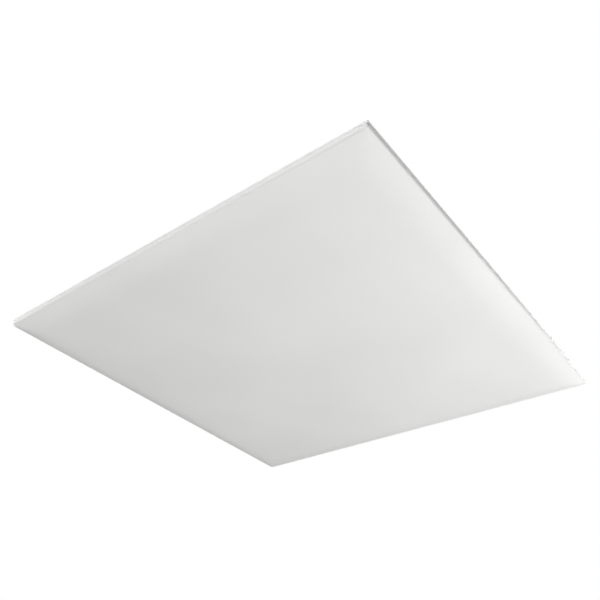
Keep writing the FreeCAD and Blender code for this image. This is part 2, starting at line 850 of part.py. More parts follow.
def opticSolid():
    # a squat dome over one chip, hanging down, with a small hollow above the chip
    radius = size("optic_radius")
    deep = size("optic_height")
    rim = size("optic_rim")
    start = FreeCAD.Vector(radius, 0, 0)
    lip = FreeCAD.Vector(radius, 0, -rim)
    low = FreeCAD.Vector(0, 0, -deep)
    ball = (radius ** 2 + (deep - rim) ** 2) / (2 * (deep - rim))
    angle = math.asin(radius / ball) / 2
    middle = FreeCAD.Vector(ball * math.sin(angle), 0, ball * (1 - math.cos(angle)) - deep)
    hollow = size("optic_hollow")
    lift = size("led_height") + size("optic_gap")
    edges = [Part.LineSegment(start, lip), Part.Arc(lip, middle, low),
             Part.LineSegment(low, FreeCAD.Vector(0, 0, -lift)),
             Part.LineSegment(FreeCAD.Vector(0, 0, -lift), FreeCAD.Vector(hollow, 0, -lift)),
             Part.LineSegment(FreeCAD.Vector(hollow, 0, -lift), FreeCAD.Vector(hollow, 0, 0)),
             Part.LineSegment(FreeCAD.Vector(hollow, 0, 0), start)]
    face = Part.Face(Part.Wire([edge.toShape() for edge in edges]))
    return face.revolve(FreeCAD.Vector(), FreeCAD.Vector(0, 0, 1), 360)


def makeOptics():
    level = number(boardBottom)
    optics = []
    for row in ledRows:
        for column in ledColumns:
            optic = opticSolid()
            optic.translate(FreeCAD.Vector(number(columnPlace(column)), number(rowPlace(row)), level))
            optics.append(optic)
    made = doc.addObject("Part::Feature", "optics")
    made.Shape = Part.makeCompound(optics)
    made.Placement = FreeCAD.Placement()
    node("led_optics", made)


def makeConnectors():
    connectors = []
    jumpers = []
    for row in ledRows:
        connectors.append(block("connector_%d" % row, about(connectorX, "connector_length / 2"),
                                about(rowPlace(row), "connector_width / 2"),
                                (boardBottom + " - connector_height", boardBottom)))
    for row in list(ledRows)[:-1]:
        for side in ("1", "-1"):
            jumpers.append(rod("jumper_%d_%s" % (row, "a" if side == "1" else "b"), "jumper_radius",
                               boardPitch + " - connector_width",
                               "%s + %s * jumper_spread" % (connectorX, side),
                               rowPlace(row) + " + connector_width / 2",
                               boardBottom + " - connector_height / 2", "Y"))
    group("board_connectors", connectors)
    group("board_jumpers", jumpers)


def makeFilm():
    sheetFilm = block("film_sheet", centred(filmHalf), centred(filmHalf), (filmBottom, filmTop))
    holes = []
    for row in ledRows:
        for column in ledColumns:
            holes.append(holeThrough("film_hole_%d_%d" % (row, column), "film_hole_radius",
                                     columnPlace(column), rowPlace(row), filmBottom, filmTop))
        for k, place in enumerate(rivetPlaces):
            holes.append(holeThrough("film_rivet_hole_%d_%d" % (row, k), "rivet_radius + pin_play",
                                     place, rowPlace(row), filmBottom, filmTop))
    node("reflector_film", cut("film_cut", sheetFilm, *holes))


def makeRivets():
    rivets = []
    for row in ledRows:
        for k, place in enumerate(rivetPlaces):
            name = "rivet_%d_%d" % (row, k)
            stem = rod(name + "_stem", "rivet_radius", "film_thick + film_drop + board_height", place,
                       rowPlace(row), filmBottom)
            head = rod(name + "_head", "rivet_head_radius", "rivet_head_thick", place, rowPlace(row),
                       filmBottom + " - rivet_head_thick")
            collar = rod(name + "_collar", "rivet_radius + rivet_collar", "film_drop", place,
                         rowPlace(row), filmTop)
            rivets.append(fuse(name, stem, head, collar))
    group("film_rivets", rivets)


# ---- gear box on the back ----

coverScrewY = "(box_lip / 2 - box_width / 2)"


def makeGearBox():
    length = "box_length / 2"
    width = "box_width / 2"
    outside = block("box_outside", about("0", length), about("0", width), (panTop, boxTop))
    inside = block("box_inside", about("0", length + " - box_sheet"), about("0", width + " - box_sheet"),
                   (boxFloor, boxTop + " + cut_past"))
    lip = block("box_lip_sheet", about("0", length + " - box_sheet"),
                ("-1 * %s + box_sheet / 2" % width, "-1 * %s + box_lip" % width),
                (boxTop + " - box_sheet", boxTop))
    shell = fuse("box_shell", cut("box_hollow", outside, inside), lip)
    through = "box_sheet + 2 * cut_past"
    holes = [rod("box_inlet_hole", "inlet_radius", through, length + " - box_sheet - cut_past",
                 "inlet_place_y", inletLevel, "X"),
             rod("box_blank_hole", "inlet_radius", through, "-1 * %s - cut_past" % length,
                 "inlet_place_y", inletLevel, "X"),
             holeThrough("box_lead_hole", "lead_hole_radius", leadHoleX, "0", panTop, boxFloor),
             holeThrough("box_screw_hole", "cover_screw_radius + cover_screw_play", "0", coverScrewY,
                         boxTop + " - box_sheet", boxTop)]
    node("gear_box", cut("box_cut", shell, *holes))


def makeInlet():
    length = "box_length / 2"
    back = length + " - box_sheet - bush_flange"
    tube = rod("bushing_tube", "inlet_radius - pin_play", "box_sheet + 2 * bush_flange", back,
               "inlet_place_y", inletLevel, "X")
    rims = [rod("bushing_rim_%d" % k, "inlet_radius + bush_flange", "bush_flange - rim_gap", x,
                "inlet_place_y", inletLevel, "X") for k, x in enumerate((length + " + rim_gap", back))]
    bore = rod("bushing_bore", "inlet_radius - bush_flange", "6 * bush_flange",
               length + " - 3 * bush_flange", "inlet_place_y", inletLevel, "X")
    node("cable_bushing", cut("bushing_cut", fuse("bushing_solid", tube, *rims), bore))
    plug = rod("plug_stem", "inlet_radius - pin_play", "box_sheet + plug_reach", "-1 * " + length,
               "inlet_place_y", inletLevel, "X")
    cap = rod("plug_cap", "inlet_radius + bush_flange", "plug_cap", "-1 * %s - plug_cap" % length,
              "inlet_place_y", inletLevel, "X")
    node("blank_plug", fuse("plug_solid", plug, cap))


def screw(name, stemLength, x, y, low, headLevel):
    # a pan-head screw: a stem that starts at low and a flat head above headLevel
    stem = rod(name + "_stem", "saddle_screw_radius", stemLength, x, y, low)
    head = rod(name + "_head", "saddle_screw_radius * screw_head_ratio", "screw_head_height", x, y,
               headLevel)
    return fuse(name, stem, head)


def makeSaddle():
    shoulder = boxFloor + " + saddle_shoulder"
    top = shoulder + " + saddle_thick"
    half = "saddle_width / 2"
    back = "saddle_place_x - saddle_length / 2"
    wide = about("saddle_place_x", "saddle_length / 2")
    bar = block("saddle_bar", wide, about("inlet_place_y", half), (shoulder, top))
    arch = rod("saddle_arch", "saddle_radius + saddle_thick", "saddle_length", back, "inlet_place_y",
               shoulder, "X")
    feet = [block("saddle_foot_%d" % k, wide, span, (boxFloor, shoulder)) for k, span in enumerate((
        ("inlet_place_y - %s" % half, "inlet_place_y - saddle_radius - saddle_play"),
        ("inlet_place_y + saddle_radius + saddle_play", "inlet_place_y + %s" % half)))]
    solid = fuse("saddle_solid", bar, arch, *feet)
    room = fuse("saddle_room",
                block("saddle_room_low", past(*wide), about("inlet_place_y", "saddle_radius"),
                      (boxFloor + " - saddle_radius - saddle_thick - cut_past", shoulder)),
                rod("saddle_room_arch", "saddle_radius", "saddle_length + 2 * cut_past",
                    back + " - cut_past", "inlet_place_y", shoulder, "X"))
    places = ["inlet_place_y + %s * (saddle_width / 2 - saddle_ear)" % side for side in ("1", "-1")]
    holes = [holeThrough("saddle_hole_%d" % k, "saddle_screw_radius", "saddle_place_x", y, boxFloor, top)
             for k, y in enumerate(places)]
    node("cable_saddle", cut("saddle_cut", solid, room, *holes))
    group("saddle_screws", [screw("saddle_screw_%d" % k, "saddle_shoulder + saddle_thick",
                                  "saddle_place_x", y, boxFloor, top) for k, y in enumerate(places)])


def makeEarth():
    washerTop = boxFloor + " + washer_lift + washer_thick"
    place = ("stud_place_x", "stud_place_y")
    stud = rod("earth_stem", "stud_radius", "stud_height", *place, boxFloor)
    washer = rod("earth_washer", "washer_radius", "washer_thick", *place, boxFloor + " + washer_lift")
    nut = doc.addObject("Part::Prism", "earth_nut_solid")
    nut.Polygon = 6
    nut.setExpression("Circumradius", bound("nut_radius"))
    nut.setExpression("Height", bound("nut_height"))
    setBase(nut, *place, washerTop + " + rim_gap")
    hole = rod("earth_nut_bore", "stud_radius", "stud_height", *place, boxFloor)
    node("earth_stud", fuse("earth_solid", stud, washer))
    node("earth_nut", cut("earth_nut_cut", nut, hole))


# ---- driver inside the gear box ----

driverFloor = "(" + boxFloor + " + driver_sheet)"
driverBoardTop = "(" + driverFloor + " + driver_board_lift + driver_board_thick)"
driverEnd = "(driver_place_x + driver_length / 2)"
portEnd = "(" + driverEnd + " - driver_sheet - driver_play)"


def makeDriver():
    half = "driver_length / 2"
    wide = "driver_width / 2"
    x = "driver_place_x"
    y = "driver_place_y"
    base = block("driver_base_sheet", about(x, half + " + driver_ear"), about(y, wide),
                 (boxFloor, driverFloor))
    screwX = ["%s + %s * (%s + driver_ear / 2)" % (x, side, half) for side in ("1", "-1")]
    holes = [holeThrough("driver_base_hole_%d" % k, "saddle_screw_radius", place, y, boxFloor,
                         driverFloor) for k, place in enumerate(screwX)]
    node("driver_base", cut("driver_base_cut", base, *holes))
    group("driver_screws", [screw("driver_screw_%d" % k, "driver_sheet", place, y, boxFloor, driverFloor)
                            for k, place in enumerate(screwX)])
    top = boxFloor + " + driver_height"
    outside = block("driver_outside", about(x, half), about(y, wide), (driverFloor, top))
    inside = block("driver_inside", about(x, half + " - driver_sheet"),
                   about(y, wide + " - driver_sheet"),
                   (driverFloor + " - cut_past", top + " - driver_sheet"))
    port = block("driver_port", (driverEnd + " - driver_mouth_depth", driverEnd + " + cut_past"),
                 about(y, wide + " - driver_mouth_margin"),
                 (driverFloor + " - cut_past", driverFloor + " + driver_mouth_height"))
    node("driver_cover", cut("driver_cover_cut", outside, inside, port))
    board = block("driver_board_sheet", about(x, half + " - driver_sheet - driver_play"),
                  about(y, wide + " - driver_sheet - driver_play"),
                  (driverFloor + " + driver_board_lift", driverBoardTop))
    node("driver_board", board)
    makeDriverParts(x, y, driverBoardTop)
    makePorts(y, driverBoardTop)


def makeDriverParts(x, y, level):
    choke = "%s + choke_place" % x
    core = block("choke_core", about(choke, "choke_length / 2"), about(y, "choke_width / 2"),
                 (level, level + " + choke_height"))
    coil = rod("choke_coil", "coil_radius", "choke_length", choke + " - choke_length / 2", y,
               level + " + coil_radius + driver_play", "X")
    capacitorX = "%s + capacitor_place" % x
    tall = rod("bulk_capacitor", "tall_capacitor_radius", "tall_capacitor_height", capacitorX,
               y + " + capacitor_spread", level)
    small = rod("small_capacitor", "small_capacitor_radius", "small_capacitor_height", capacitorX,
                y + " - capacitor_spread", level)
    sink = block("driver_heat_sink", about("%s + sink_place" % x, "sink_length / 2"),
                 about(y, "sink_thick / 2"), (level, level + " + sink_height"))
    group("driver_parts", [fuse("choke", core, coil), tall, small, sink])


def makePorts(y, level):
    ports = []
    for k, side in enumerate(("1", "-1")):
        ports.append(block("driver_port_%d" % k, (portEnd + " - port_length", portEnd),
                           about("%s + %s * port_spread" % (y, side), "port_width / 2"),
                           (level, level + " + port_height")))
    group("driver_ports", ports)


# ---- mains terminal block and its levers ----

poles = range(3)
leverY = "(block_place_y - terminal_length / 2 + lever_heel)"
leverZ = "(" + boxFloor + " + terminal_height - lever_thick)"


def poleX(pole):
    return "(block_place_x + %d * terminal_width)" % (pole - 1)


def makeTerminals():
    top = boxFloor + " + terminal_height"
    back = "block_place_y + terminal_length / 2"
    front = "block_place_y - terminal_length / 2"
    half = "terminal_width * %d / 2 + terminal_wall" % len(poles)
    solid = block("terminal_solid", about("block_place_x", half), (front, back), (boxFloor, top))
    tools = []
    for pole in poles:
        name = "terminal_%d" % pole
        tools.append(block(name + "_recess", about(poleX(pole), "lever_width / 2 + lever_play"),
                           (front + " - cut_past", leverY + " + lever_length"),
                           (leverZ + " - lever_thick - lever_play", top + " + cut_past")))
        depth = "terminal_bore_depth + cut_past"
        tools.append(rod(name + "_entry", "lead_radius + lead_play", depth, poleX(pole),
                         back + " - terminal_bore_depth", boxFloor + " + terminal_height / 3", "Y"))
        tools.append(rod(name + "_supply", "supply_radius", depth, poleX(pole),
                         front + " - cut_past", boxFloor + " + terminal_height / 4", "Y"))
    across = "%d * terminal_width" % (len(poles) + 2)
    tools.append(rod("terminal_pin_bore", "lever_pin_radius + pin_play", across,
                     "block_place_x - %s / 2" % across, leverY, leverZ, "X"))
    node("terminal_block", cut("terminal_cut", solid, *tools))


def makeLevers():
    for pole in poles:
        name = "terminal_lever_%d" % (pole + 1)
        start = poleX(pole) + " - lever_width / 2"
        bar = block(name + "_bar", about(poleX(pole), "lever_width / 2"),
                    (leverY, leverY + " + lever_length - lever_tip"), about(leverZ, "lever_thick / 2"))
        heel = rod(name + "_heel", "lever_thick / 2", "lever_width", start, leverY, leverZ, "X")
        pin = rod(name + "_pin", "lever_pin_radius", "lever_width + 2 * (lever_play + lever_pin_reach)",
                  start + " - lever_play - lever_pin_reach", leverY, leverZ, "X")
        node(name, fuse(name + "_solid", bar, heel, pin))


# ---- hinged cover of the gear box ----

coverLow = "(" + boxTop + " + cover_rest)"
coverTop = "(" + coverLow + " + box_sheet)"
coverAxisY = "(box_width / 2 + cover_knuckle_radius + cover_play)"


def makeCover():
    length = "(box_length / 2 + cover_play + box_sheet)"
    front = "-1 * box_width / 2 - cover_play - box_sheet"
    back = "box_width / 2 - cover_play"
    lip = (coverLow + " - cover_lip", coverLow)
    side = (front, back + " - cover_lip_end")
    top = block("cover_top", centred(length), (front, back), (coverLow, coverTop))
    lips = [block("cover_front_lip", centred(length), (front, front + " + box_sheet"), lip),
            block("cover_end_lip_a", (length + " - box_sheet", length), side, lip),
            block("cover_end_lip_b", ("-1 * " + length, "box_sheet - " + length), side, lip)]
    hole = holeThrough("cover_screw_hole", "cover_screw_radius", "0", coverScrewY, coverLow, coverTop)
    node("gear_box_cover", cut("cover_cut", fuse("cover_solid", top, *lips), hole))
    stem = rod("cover_screw_stem", "cover_screw_radius", "cover_screw_length", "0", coverScrewY,
               coverTop + " - cover_screw_length")
    head = rod("cover_screw_top", "cover_screw_radius * 2", "cover_screw_head", "0", coverScrewY,
               coverTop)
    headTop = coverTop + " + cover_screw_head"
    slot = block("cover_screw_slot", about("0", "cover_screw_radius * 3"),
                 about(coverScrewY, "cover_screw_slot / 2"),
                 (headTop + " - cover_screw_slot", headTop + " + cut_past"))
    node("cover_screw", cut("cover_screw_cut", fuse("cover_screw_solid", stem, head), slot))


coverKnuckles = range(5)


def knuckleSpan(k):
    # the knuckles share out the cover's hinge, ends included
    step = "cover_hinge_length / %d" % len(coverKnuckles)
    start = "%s * %s" % (k - len(coverKnuckles) / 2, step)
    return start + " + knuckle_play / 2", start + " + %s - knuckle_play / 2" % step


def makeCoverHinge():
    half = "cover_hinge_length / 2"
    wall = ("box_width / 2", "box_width / 2 + box_sheet")
    fixed = [block("fixed_leaf_plate", about("0", half), wall,
                   (coverTop + " - cover_hinge_drop", coverTop + " - cover_knuckle_radius - hinge_room"))]
    moving = [block("moving_leaf_plate", about("0", half),
                    ("box_width / 2 - cover_hinge_drop", "box_width / 2 - cover_hinge_edge"),
                    (coverTop, coverTop + " + box_sheet"))]
    for k in coverKnuckles:
        start, end = knuckleSpan(k)
        made = rod("cover_knuckle_%d" % k, "cover_knuckle_radius", "%s - (%s)" % (end, start), start,
                   coverAxisY, coverTop, "X")
        if k % 2 == 0:
            tongue = block("cover_tongue_%d" % k, (start, end), wall,
                           (coverTop + " - cover_knuckle_radius - hinge_room - knuckle_play", coverTop))
            fixed += [made, tongue]
        else:
            tongue = block("cover_tongue_%d" % k, (start, end),
                           ("box_width / 2 - cover_hinge_lap", coverAxisY),
                           (coverTop, coverTop + " + box_sheet"))
            moving += [made, tongue]
    bores = [rod("cover_bore_%d" % k, radius, "cover_hinge_length + 2 * cut_past",
                 "-1 * %s - cut_past" % half, coverAxisY, coverTop, "X")
             for k, radius in enumerate(("cover_pin_radius", "cover_pin_radius + pin_play"))]
    node("cover_hinge_fixed_leaf", cut("fixed_leaf_cut", fuse("fixed_leaf_solid", *fixed), bores[0]))
    node("cover_hinge_moving_leaf", cut("moving_leaf_cut", fuse("moving_leaf_solid", *moving), bores[1]))
    node("cover_hinge_pin", rod("cover_pin", "cover_pin_radius", "cover_hinge_length", "-1 * " + half,
                                coverAxisY, coverTop, "X"))


# ---- wires inside the box ----

def wireSolid(points, radius, bend):
    # a round wire: straight runs joined by tangent arcs
    edges = []
    start = points[0]
    for before, corner, after in zip(points, points[1:], points[2:]):
        into = (corner - before).normalize()
        away = (after - corner).normalize()
        turn = into.getAngle(away)
        reach = bend * math.tan(turn / 2)
        first = corner - into * reach
        last = corner + away * reach
        chord = (away - into).normalize()
        middle = corner + chord * (bend / math.cos(turn / 2) - bend)
        edges.append(Part.LineSegment(start, first).toShape())
        edges.append(Part.Arc(first, middle, last).toShape())
        start = last
    edges.append(Part.LineSegment(start, points[-1]).toShape())
    path = Part.Wire(edges)
    along = points[1] - points[0]
    ring = Part.Wire([Part.makeCircle(radius, points[0], along)])
    return path.makePipeShell([ring], True, False)


def wireGroup(name, routes, radius):
    # identical loose wires kept in one node
    wires = [wireSolid(points, radius, size("lead_bend")) for points in routes]
    made = doc.addObject("Part::Feature", name + "_wires")
    made.Shape = Part.makeCompound(wires)
    made.Placement = FreeCAD.Placement()
    node(name, made)


def makeLeads():
    portX = number(portEnd)
    portZ = number(driverBoardTop + " + port_height / 2")
    driverY = size("driver_place_y")
    spread = size("port_spread")
    blockY = number("block_place_y + terminal_length / 2 - terminal_bore_depth + mains_inset")
    blockZ = number(boxFloor + " + terminal_height / 3")
    mains = []
    for pole in poles[:2]:
        x = number(poleX(pole))
        y = driverY - spread + (pole - 0.5) * size("lead_spread")
        mains.append([FreeCAD.Vector(x, blockY, blockZ), FreeCAD.Vector(x, y, blockZ),
                      FreeCAD.Vector(portX + size("mains_run"), y, portZ),
                      FreeCAD.Vector(portX, y, portZ)])
    wireGroup("mains_leads", mains, size("lead_radius"))
    holeX = number(leadHoleX)
    exitZ = number(boxFloor + " - output_drop")
    # straight past the earth stud, then across to the hole
    turnX = number("stud_place_x + washer_radius + output_clear")
    outputs = []
    for side in (-1, 1):
        y = driverY + spread + side * size("output_spread")
        x = holeX + side * size("jumper_spread")
        outputs.append([FreeCAD.Vector(portX, y, portZ),
                        FreeCAD.Vector(turnX, y, portZ),
                        FreeCAD.Vector(x, side * size("lead_bend"), portZ),
                        FreeCAD.Vector(x, 0, exitZ)])
    wireGroup("led_leads", outputs, size("jumper_radius"))


# ---- build, check and write ----

makeLens()
makeRails()
makeCorners()
makeHinges()
makeCatches()
makeHousing()
makeGasket()
makeHangers()
makeClamps()
makeBoards()
makeChips()
makeOptics()
makeConnectors()
makeFilm()
makeRivets()
makeGearBox()
makeInlet()
makeSaddle()
makeEarth()
makeDriver()
makeTerminals()
makeLevers()
makeCover()
makeCoverHinge()
makeLeads()
doc.recompute()

faults = [thing.Name for thing in doc.Objects if "Invalid" in thing.State or "Error" in thing.State]
for name, thing in nodes.items():
    shape = thing.Shape
    if shape.isNull() or not shape.isValid() or not shape.Solids:
        faults.append(name)
if faults:
    raise RuntimeError("not sound: " + ", ".join(faults))

os.makedirs("parts", exist_ok=True)
for name, thing in nodes.items():
    thing.Shape.exportStep("parts/%s.step" % name)
    print(name, len(thing.Shape.Solids), round(thing.Shape.Volume, 1))
print(len(nodes), "nodes")
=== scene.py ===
import json
import math
import random

import bmesh
import bpy
from mathutils import Matrix, Vector

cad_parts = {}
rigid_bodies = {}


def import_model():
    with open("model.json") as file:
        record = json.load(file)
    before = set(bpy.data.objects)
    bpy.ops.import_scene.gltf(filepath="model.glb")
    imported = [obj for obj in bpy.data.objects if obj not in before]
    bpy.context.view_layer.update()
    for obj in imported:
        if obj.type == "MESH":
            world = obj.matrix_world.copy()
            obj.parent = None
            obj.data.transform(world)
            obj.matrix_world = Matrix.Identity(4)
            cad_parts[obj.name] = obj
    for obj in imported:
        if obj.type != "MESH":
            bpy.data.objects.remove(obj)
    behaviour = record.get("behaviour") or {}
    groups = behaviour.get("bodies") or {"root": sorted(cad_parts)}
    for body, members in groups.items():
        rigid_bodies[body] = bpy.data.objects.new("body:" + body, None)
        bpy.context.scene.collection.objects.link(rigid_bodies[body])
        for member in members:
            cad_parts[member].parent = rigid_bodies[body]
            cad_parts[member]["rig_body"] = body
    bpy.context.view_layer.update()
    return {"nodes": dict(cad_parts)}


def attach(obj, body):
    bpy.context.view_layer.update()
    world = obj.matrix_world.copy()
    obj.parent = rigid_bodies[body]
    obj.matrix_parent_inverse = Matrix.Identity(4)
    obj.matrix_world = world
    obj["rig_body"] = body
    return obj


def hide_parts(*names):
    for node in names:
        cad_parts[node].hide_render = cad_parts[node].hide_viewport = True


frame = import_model()
nodes = frame["nodes"]
random.seed(7)
mm = 0.001


def linear(hexColour):
    # sRGB hex to the linear values that the shaders take
    parts = [int(hexColour[k:k + 2], 16) / 255 for k in (1, 3, 5)]
    return [c / 12.92 if c <= 0.04045 else ((c + 0.055) / 1.055) ** 2.4 for c in parts] + [1.0]


def addNode(tree, kind, settings=None, inputs=None, links=None):
    # settings are the node's own values, inputs are numbers, links come from other sockets
    made = tree.nodes.new(kind)
    for name, value in (settings or {}).items():
        setattr(made, name, value)
    for name, value in (inputs or {}).items():
        made.inputs[name].default_value = value
    for name, socket in (links or {}).items():
        tree.links.new(socket, made.inputs[name])
    return made


def newMaterial(name, fixed=None):
    # fixed holds the values that are the same all over the surface
    material = bpy.data.materials.new(name)
    material.use_nodes = True
    tree = material.node_tree
    tree.nodes.clear()
    shader = addNode(tree, "ShaderNodeBsdfPrincipled", inputs=fixed)
    addNode(tree, "ShaderNodeOutputMaterial", links={"Surface": shader.outputs[0]})
    place = addNode(tree, "ShaderNodeTexCoord").outputs["Object"]
    return material, tree, shader, place


def perMetre(millimetres):
    # how often a pattern of this size repeats in a metre
    return 1000.0 / millimetres


# nearly all values of a noise texture lie between these two
noiseLow, noiseHigh = 0.3, 0.7


def mottled(name, look, fixed=None):
    # what most of the finishes share: two close tones in soft patches, a gloss that varies a little
    # and a fine relief; patch, sheen, grain and depth are real sizes in millimetres
    material, tree, shader, place = newMaterial(name, fixed)
    if "stretch" in look:
        place = addNode(tree, "ShaderNodeMapping", inputs={"Scale": look["stretch"]},
                        links={"Vector": place}).outputs[0]
    patches = addNode(tree, "ShaderNodeTexNoise",
                      inputs={"Scale": perMetre(look["patch"]), "Detail": look.get("detail", 3.0)},
                      links={"Vector": place})
    tone = addNode(tree, "ShaderNodeMapRange",
                   inputs={"From Min": noiseLow, "From Max": noiseHigh},
                   links={"Value": patches.outputs["Fac"]})
    colour = addNode(tree, "ShaderNodeMix", {"data_type": "RGBA"},
                     {6: linear(look["shade"]), 7: linear(look["colour"])}, {0: tone.outputs[0]})
    tree.links.new(colour.outputs[2], shader.inputs["Base Color"])
    scuffs = addNode(tree, "ShaderNodeTexNoise",
                     inputs={"Scale": perMetre(look["sheen"]), "Detail": 3.0}, links={"Vector": place})
    gloss = addNode(tree, "ShaderNodeMapRange",
                    inputs={"From Min": noiseLow, "From Max": noiseHigh,
                            "To Min": look["rough"][0], "To Max": look["rough"][1]},
                    links={"Value": scuffs.outputs["Fac"]})
    tree.links.new(gloss.outputs[0], shader.inputs["Roughness"])
    relief = addNode(tree, "ShaderNodeTexNoise",
                     inputs={"Scale": perMetre(look["grain"]), "Detail": 2.0}, links={"Vector": place})
    bump = addNode(tree, "ShaderNodeBump", inputs={"Distance": look["depth"] * mm},
                   links={"Height": relief.outputs["Fac"]})
    tree.links.new(bump.outputs[0], shader.inputs["Normal"])
    return material


def opalAcrylic():
    # opal PMMA, moulded with a satin face: soft white, and a little light goes into it; the satin
    # grain is far finer on the real one and is drawn this coarse so that it shows
    look = {"colour": "#F2F2F1", "shade": "#EDEDEC", "patch": 180.0, "grain": 0.9, "depth": 0.006,
            "into": 1.5}
    fixed = {"Roughness": 0.6, "IOR": 1.49, "Specular IOR Level": 0.18, "Subsurface Weight": 0.12,
             "Subsurface Radius": (1.0, 1.0, 1.0), "Subsurface Scale": look["into"] * mm}
    material, tree, shader, place = newMaterial("opalAcrylicSatin", fixed)
    cloud = addNode(tree, "ShaderNodeTexNoise",
                    inputs={"Scale": perMetre(look["patch"]), "Detail": 1.0}, links={"Vector": place})
    tone = addNode(tree, "ShaderNodeMapRange",
                   inputs={"From Min": noiseLow, "From Max": noiseHigh},
                   links={"Value": cloud.outputs["Fac"]})
    colour = addNode(tree, "ShaderNodeMix", {"data_type": "RGBA"},
                     {6: linear(look["shade"]), 7: linear(look["colour"])}, {0: tone.outputs[0]})
    tree.links.new(colour.outputs[2], shader.inputs["Base Color"])
    satin = addNode(tree, "ShaderNodeTexNoise", inputs={"Scale": perMetre(look["grain"])},
                    links={"Vector": place})
    bump = addNode(tree, "ShaderNodeBump", inputs={"Distance": look["depth"] * mm},
                   links={"Height": satin.outputs["Fac"]})
    tree.links.new(bump.outputs[0], shader.inputs["Normal"])
    return material


def galvanisedSheet():
    # hot-dip galvanised sheet: angular zinc crystals a few millimetres across
    look = {"colour": "#C6CACC", "shade": "#9FA4A7", "crystal": 7.0, "rough": (0.3, 0.48),
            "depth": 0.01}
    material, tree, shader, place = newMaterial("galvanisedSheet", {"Metallic": 1.0})
    cells = addNode(tree, "ShaderNodeTexVoronoi", inputs={"Scale": perMetre(look["crystal"])},
                    links={"Vector": place})
    tone = addNode(tree, "ShaderNodeRGBToBW", links={0: cells.outputs["Color"]})
    colour = addNode(tree, "ShaderNodeMix", {"data_type": "RGBA"},
                     {6: linear(look["shade"]), 7: linear(look["colour"])}, {0: tone.outputs[0]})
    tree.links.new(colour.outputs[2], shader.inputs["Base Color"])
    gloss = addNode(tree, "ShaderNodeMapRange",
                    inputs={"To Min": look["rough"][0], "To Max": look["rough"][1]},
                    links={"Value": tone.outputs[0]})
    tree.links.new(gloss.outputs[0], shader.inputs["Roughness"])
    bump = addNode(tree, "ShaderNodeBump", inputs={"Distance": look["depth"] * mm},
                   links={"Height": tone.outputs[0]})
    tree.links.new(bump.outputs[0], shader.inputs["Normal"])
    return material


def rolledThread():
    # rolled machine thread, zinc plated: fine ridges along the shank, with painted shade in the grooves
    # between them
    look = {"colour": "#C3C6C9", "shade": "#8F9396", "pitch": 0.8, "depth": 0.15}
    fixed = {"Metallic": 1.0, "Roughness": 0.34}
    material, tree, shader, place = newMaterial("rolledThreadSteel", fixed)
    # a wave texture of scale 1 repeats every pi / 10
    ridgesAndGrooveShade = addNode(tree, "ShaderNodeTexWave", {"bands_direction": "Z"},
                     {"Scale": perMetre(look["pitch"]) * math.pi / 10}, {"Vector": place})
    # painted shade: the low grooves of the wave get the darker tone and the crests the plain plated
    # grey
    colour = addNode(tree, "ShaderNodeMix", {"data_type": "RGBA"},
                     {6: linear(look["shade"]), 7: linear(look["colour"])},
                     {0: ridgesAndGrooveShade.outputs["Fac"]})
    tree.links.new(colour.outputs[2], shader.inputs["Base Color"])
    bump = addNode(tree, "ShaderNodeBump", inputs={"Distance": look["depth"] * mm},
                   links={"Height": ridgesAndGrooveShade.outputs["Fac"]})
    tree.links.new(bump.outputs[0], shader.inputs["Normal"])
    return material


def closedCellFoam():
    # polyethylene foam tape cut from a block: matt grey, with open cut cells about a millimetre wide
    # whose hollows are drawn darker as painted shade
    look = {"colour": "#55575A", "shade": "#2C2D2F", "cell": 1.1, "wall": 0.7, "depth": 0.25}
    material, tree, shader, place = newMaterial("closedCellFoam", {"Roughness": 0.95})
    cells = addNode(tree, "ShaderNodeTexVoronoi", inputs={"Scale": perMetre(look["cell"])},
                    links={"Vector": place})
    # painted shade: each cell is darkest in the middle of its hollow and reaches the plain grey at its
    # wall
    wall = addNode(tree, "ShaderNodeMapRange", inputs={"From Max": look["wall"]},
                   links={"Value": cells.outputs["Distance"]})
    colour = addNode(tree, "ShaderNodeMix", {"data_type": "RGBA"},
                     {6: linear(look["shade"]), 7: linear(look["colour"])}, {0: wall.outputs[0]})
    tree.links.new(colour.outputs[2], shader.inputs["Base Color"])
    bump = addNode(tree, "ShaderNodeBump", inputs={"Distance": look["depth"] * mm},
                   links={"Height": cells.outputs["Distance"]})
    tree.links.new(bump.outputs[0], shader.inputs["Normal"])
    return material


def clearAcrylic():
    # clear PMMA, moulded and polished: bright and see-through with a faint ripple
    look = {"ripple": 2.5, "depth": 0.01}
    fixed = {"Base Color": linear("#FAFBFB"), "Roughness": 0.04, "IOR": 1.49,
             "Transmission Weight": 1.0}
    material, tree, shader, place = newMaterial("clearAcrylic", fixed)
    ripple = addNode(tree, "ShaderNodeTexNoise",
                     inputs={"Scale": perMetre(look["ripple"]), "Detail": 1.0}, links={"Vector": place})
    bump = addNode(tree, "ShaderNodeBump", inputs={"Distance": look["depth"] * mm},
                   links={"Height": ripple.outputs["Fac"]})
    tree.links.new(bump.outputs[0], shader.inputs["Normal"])
    return material


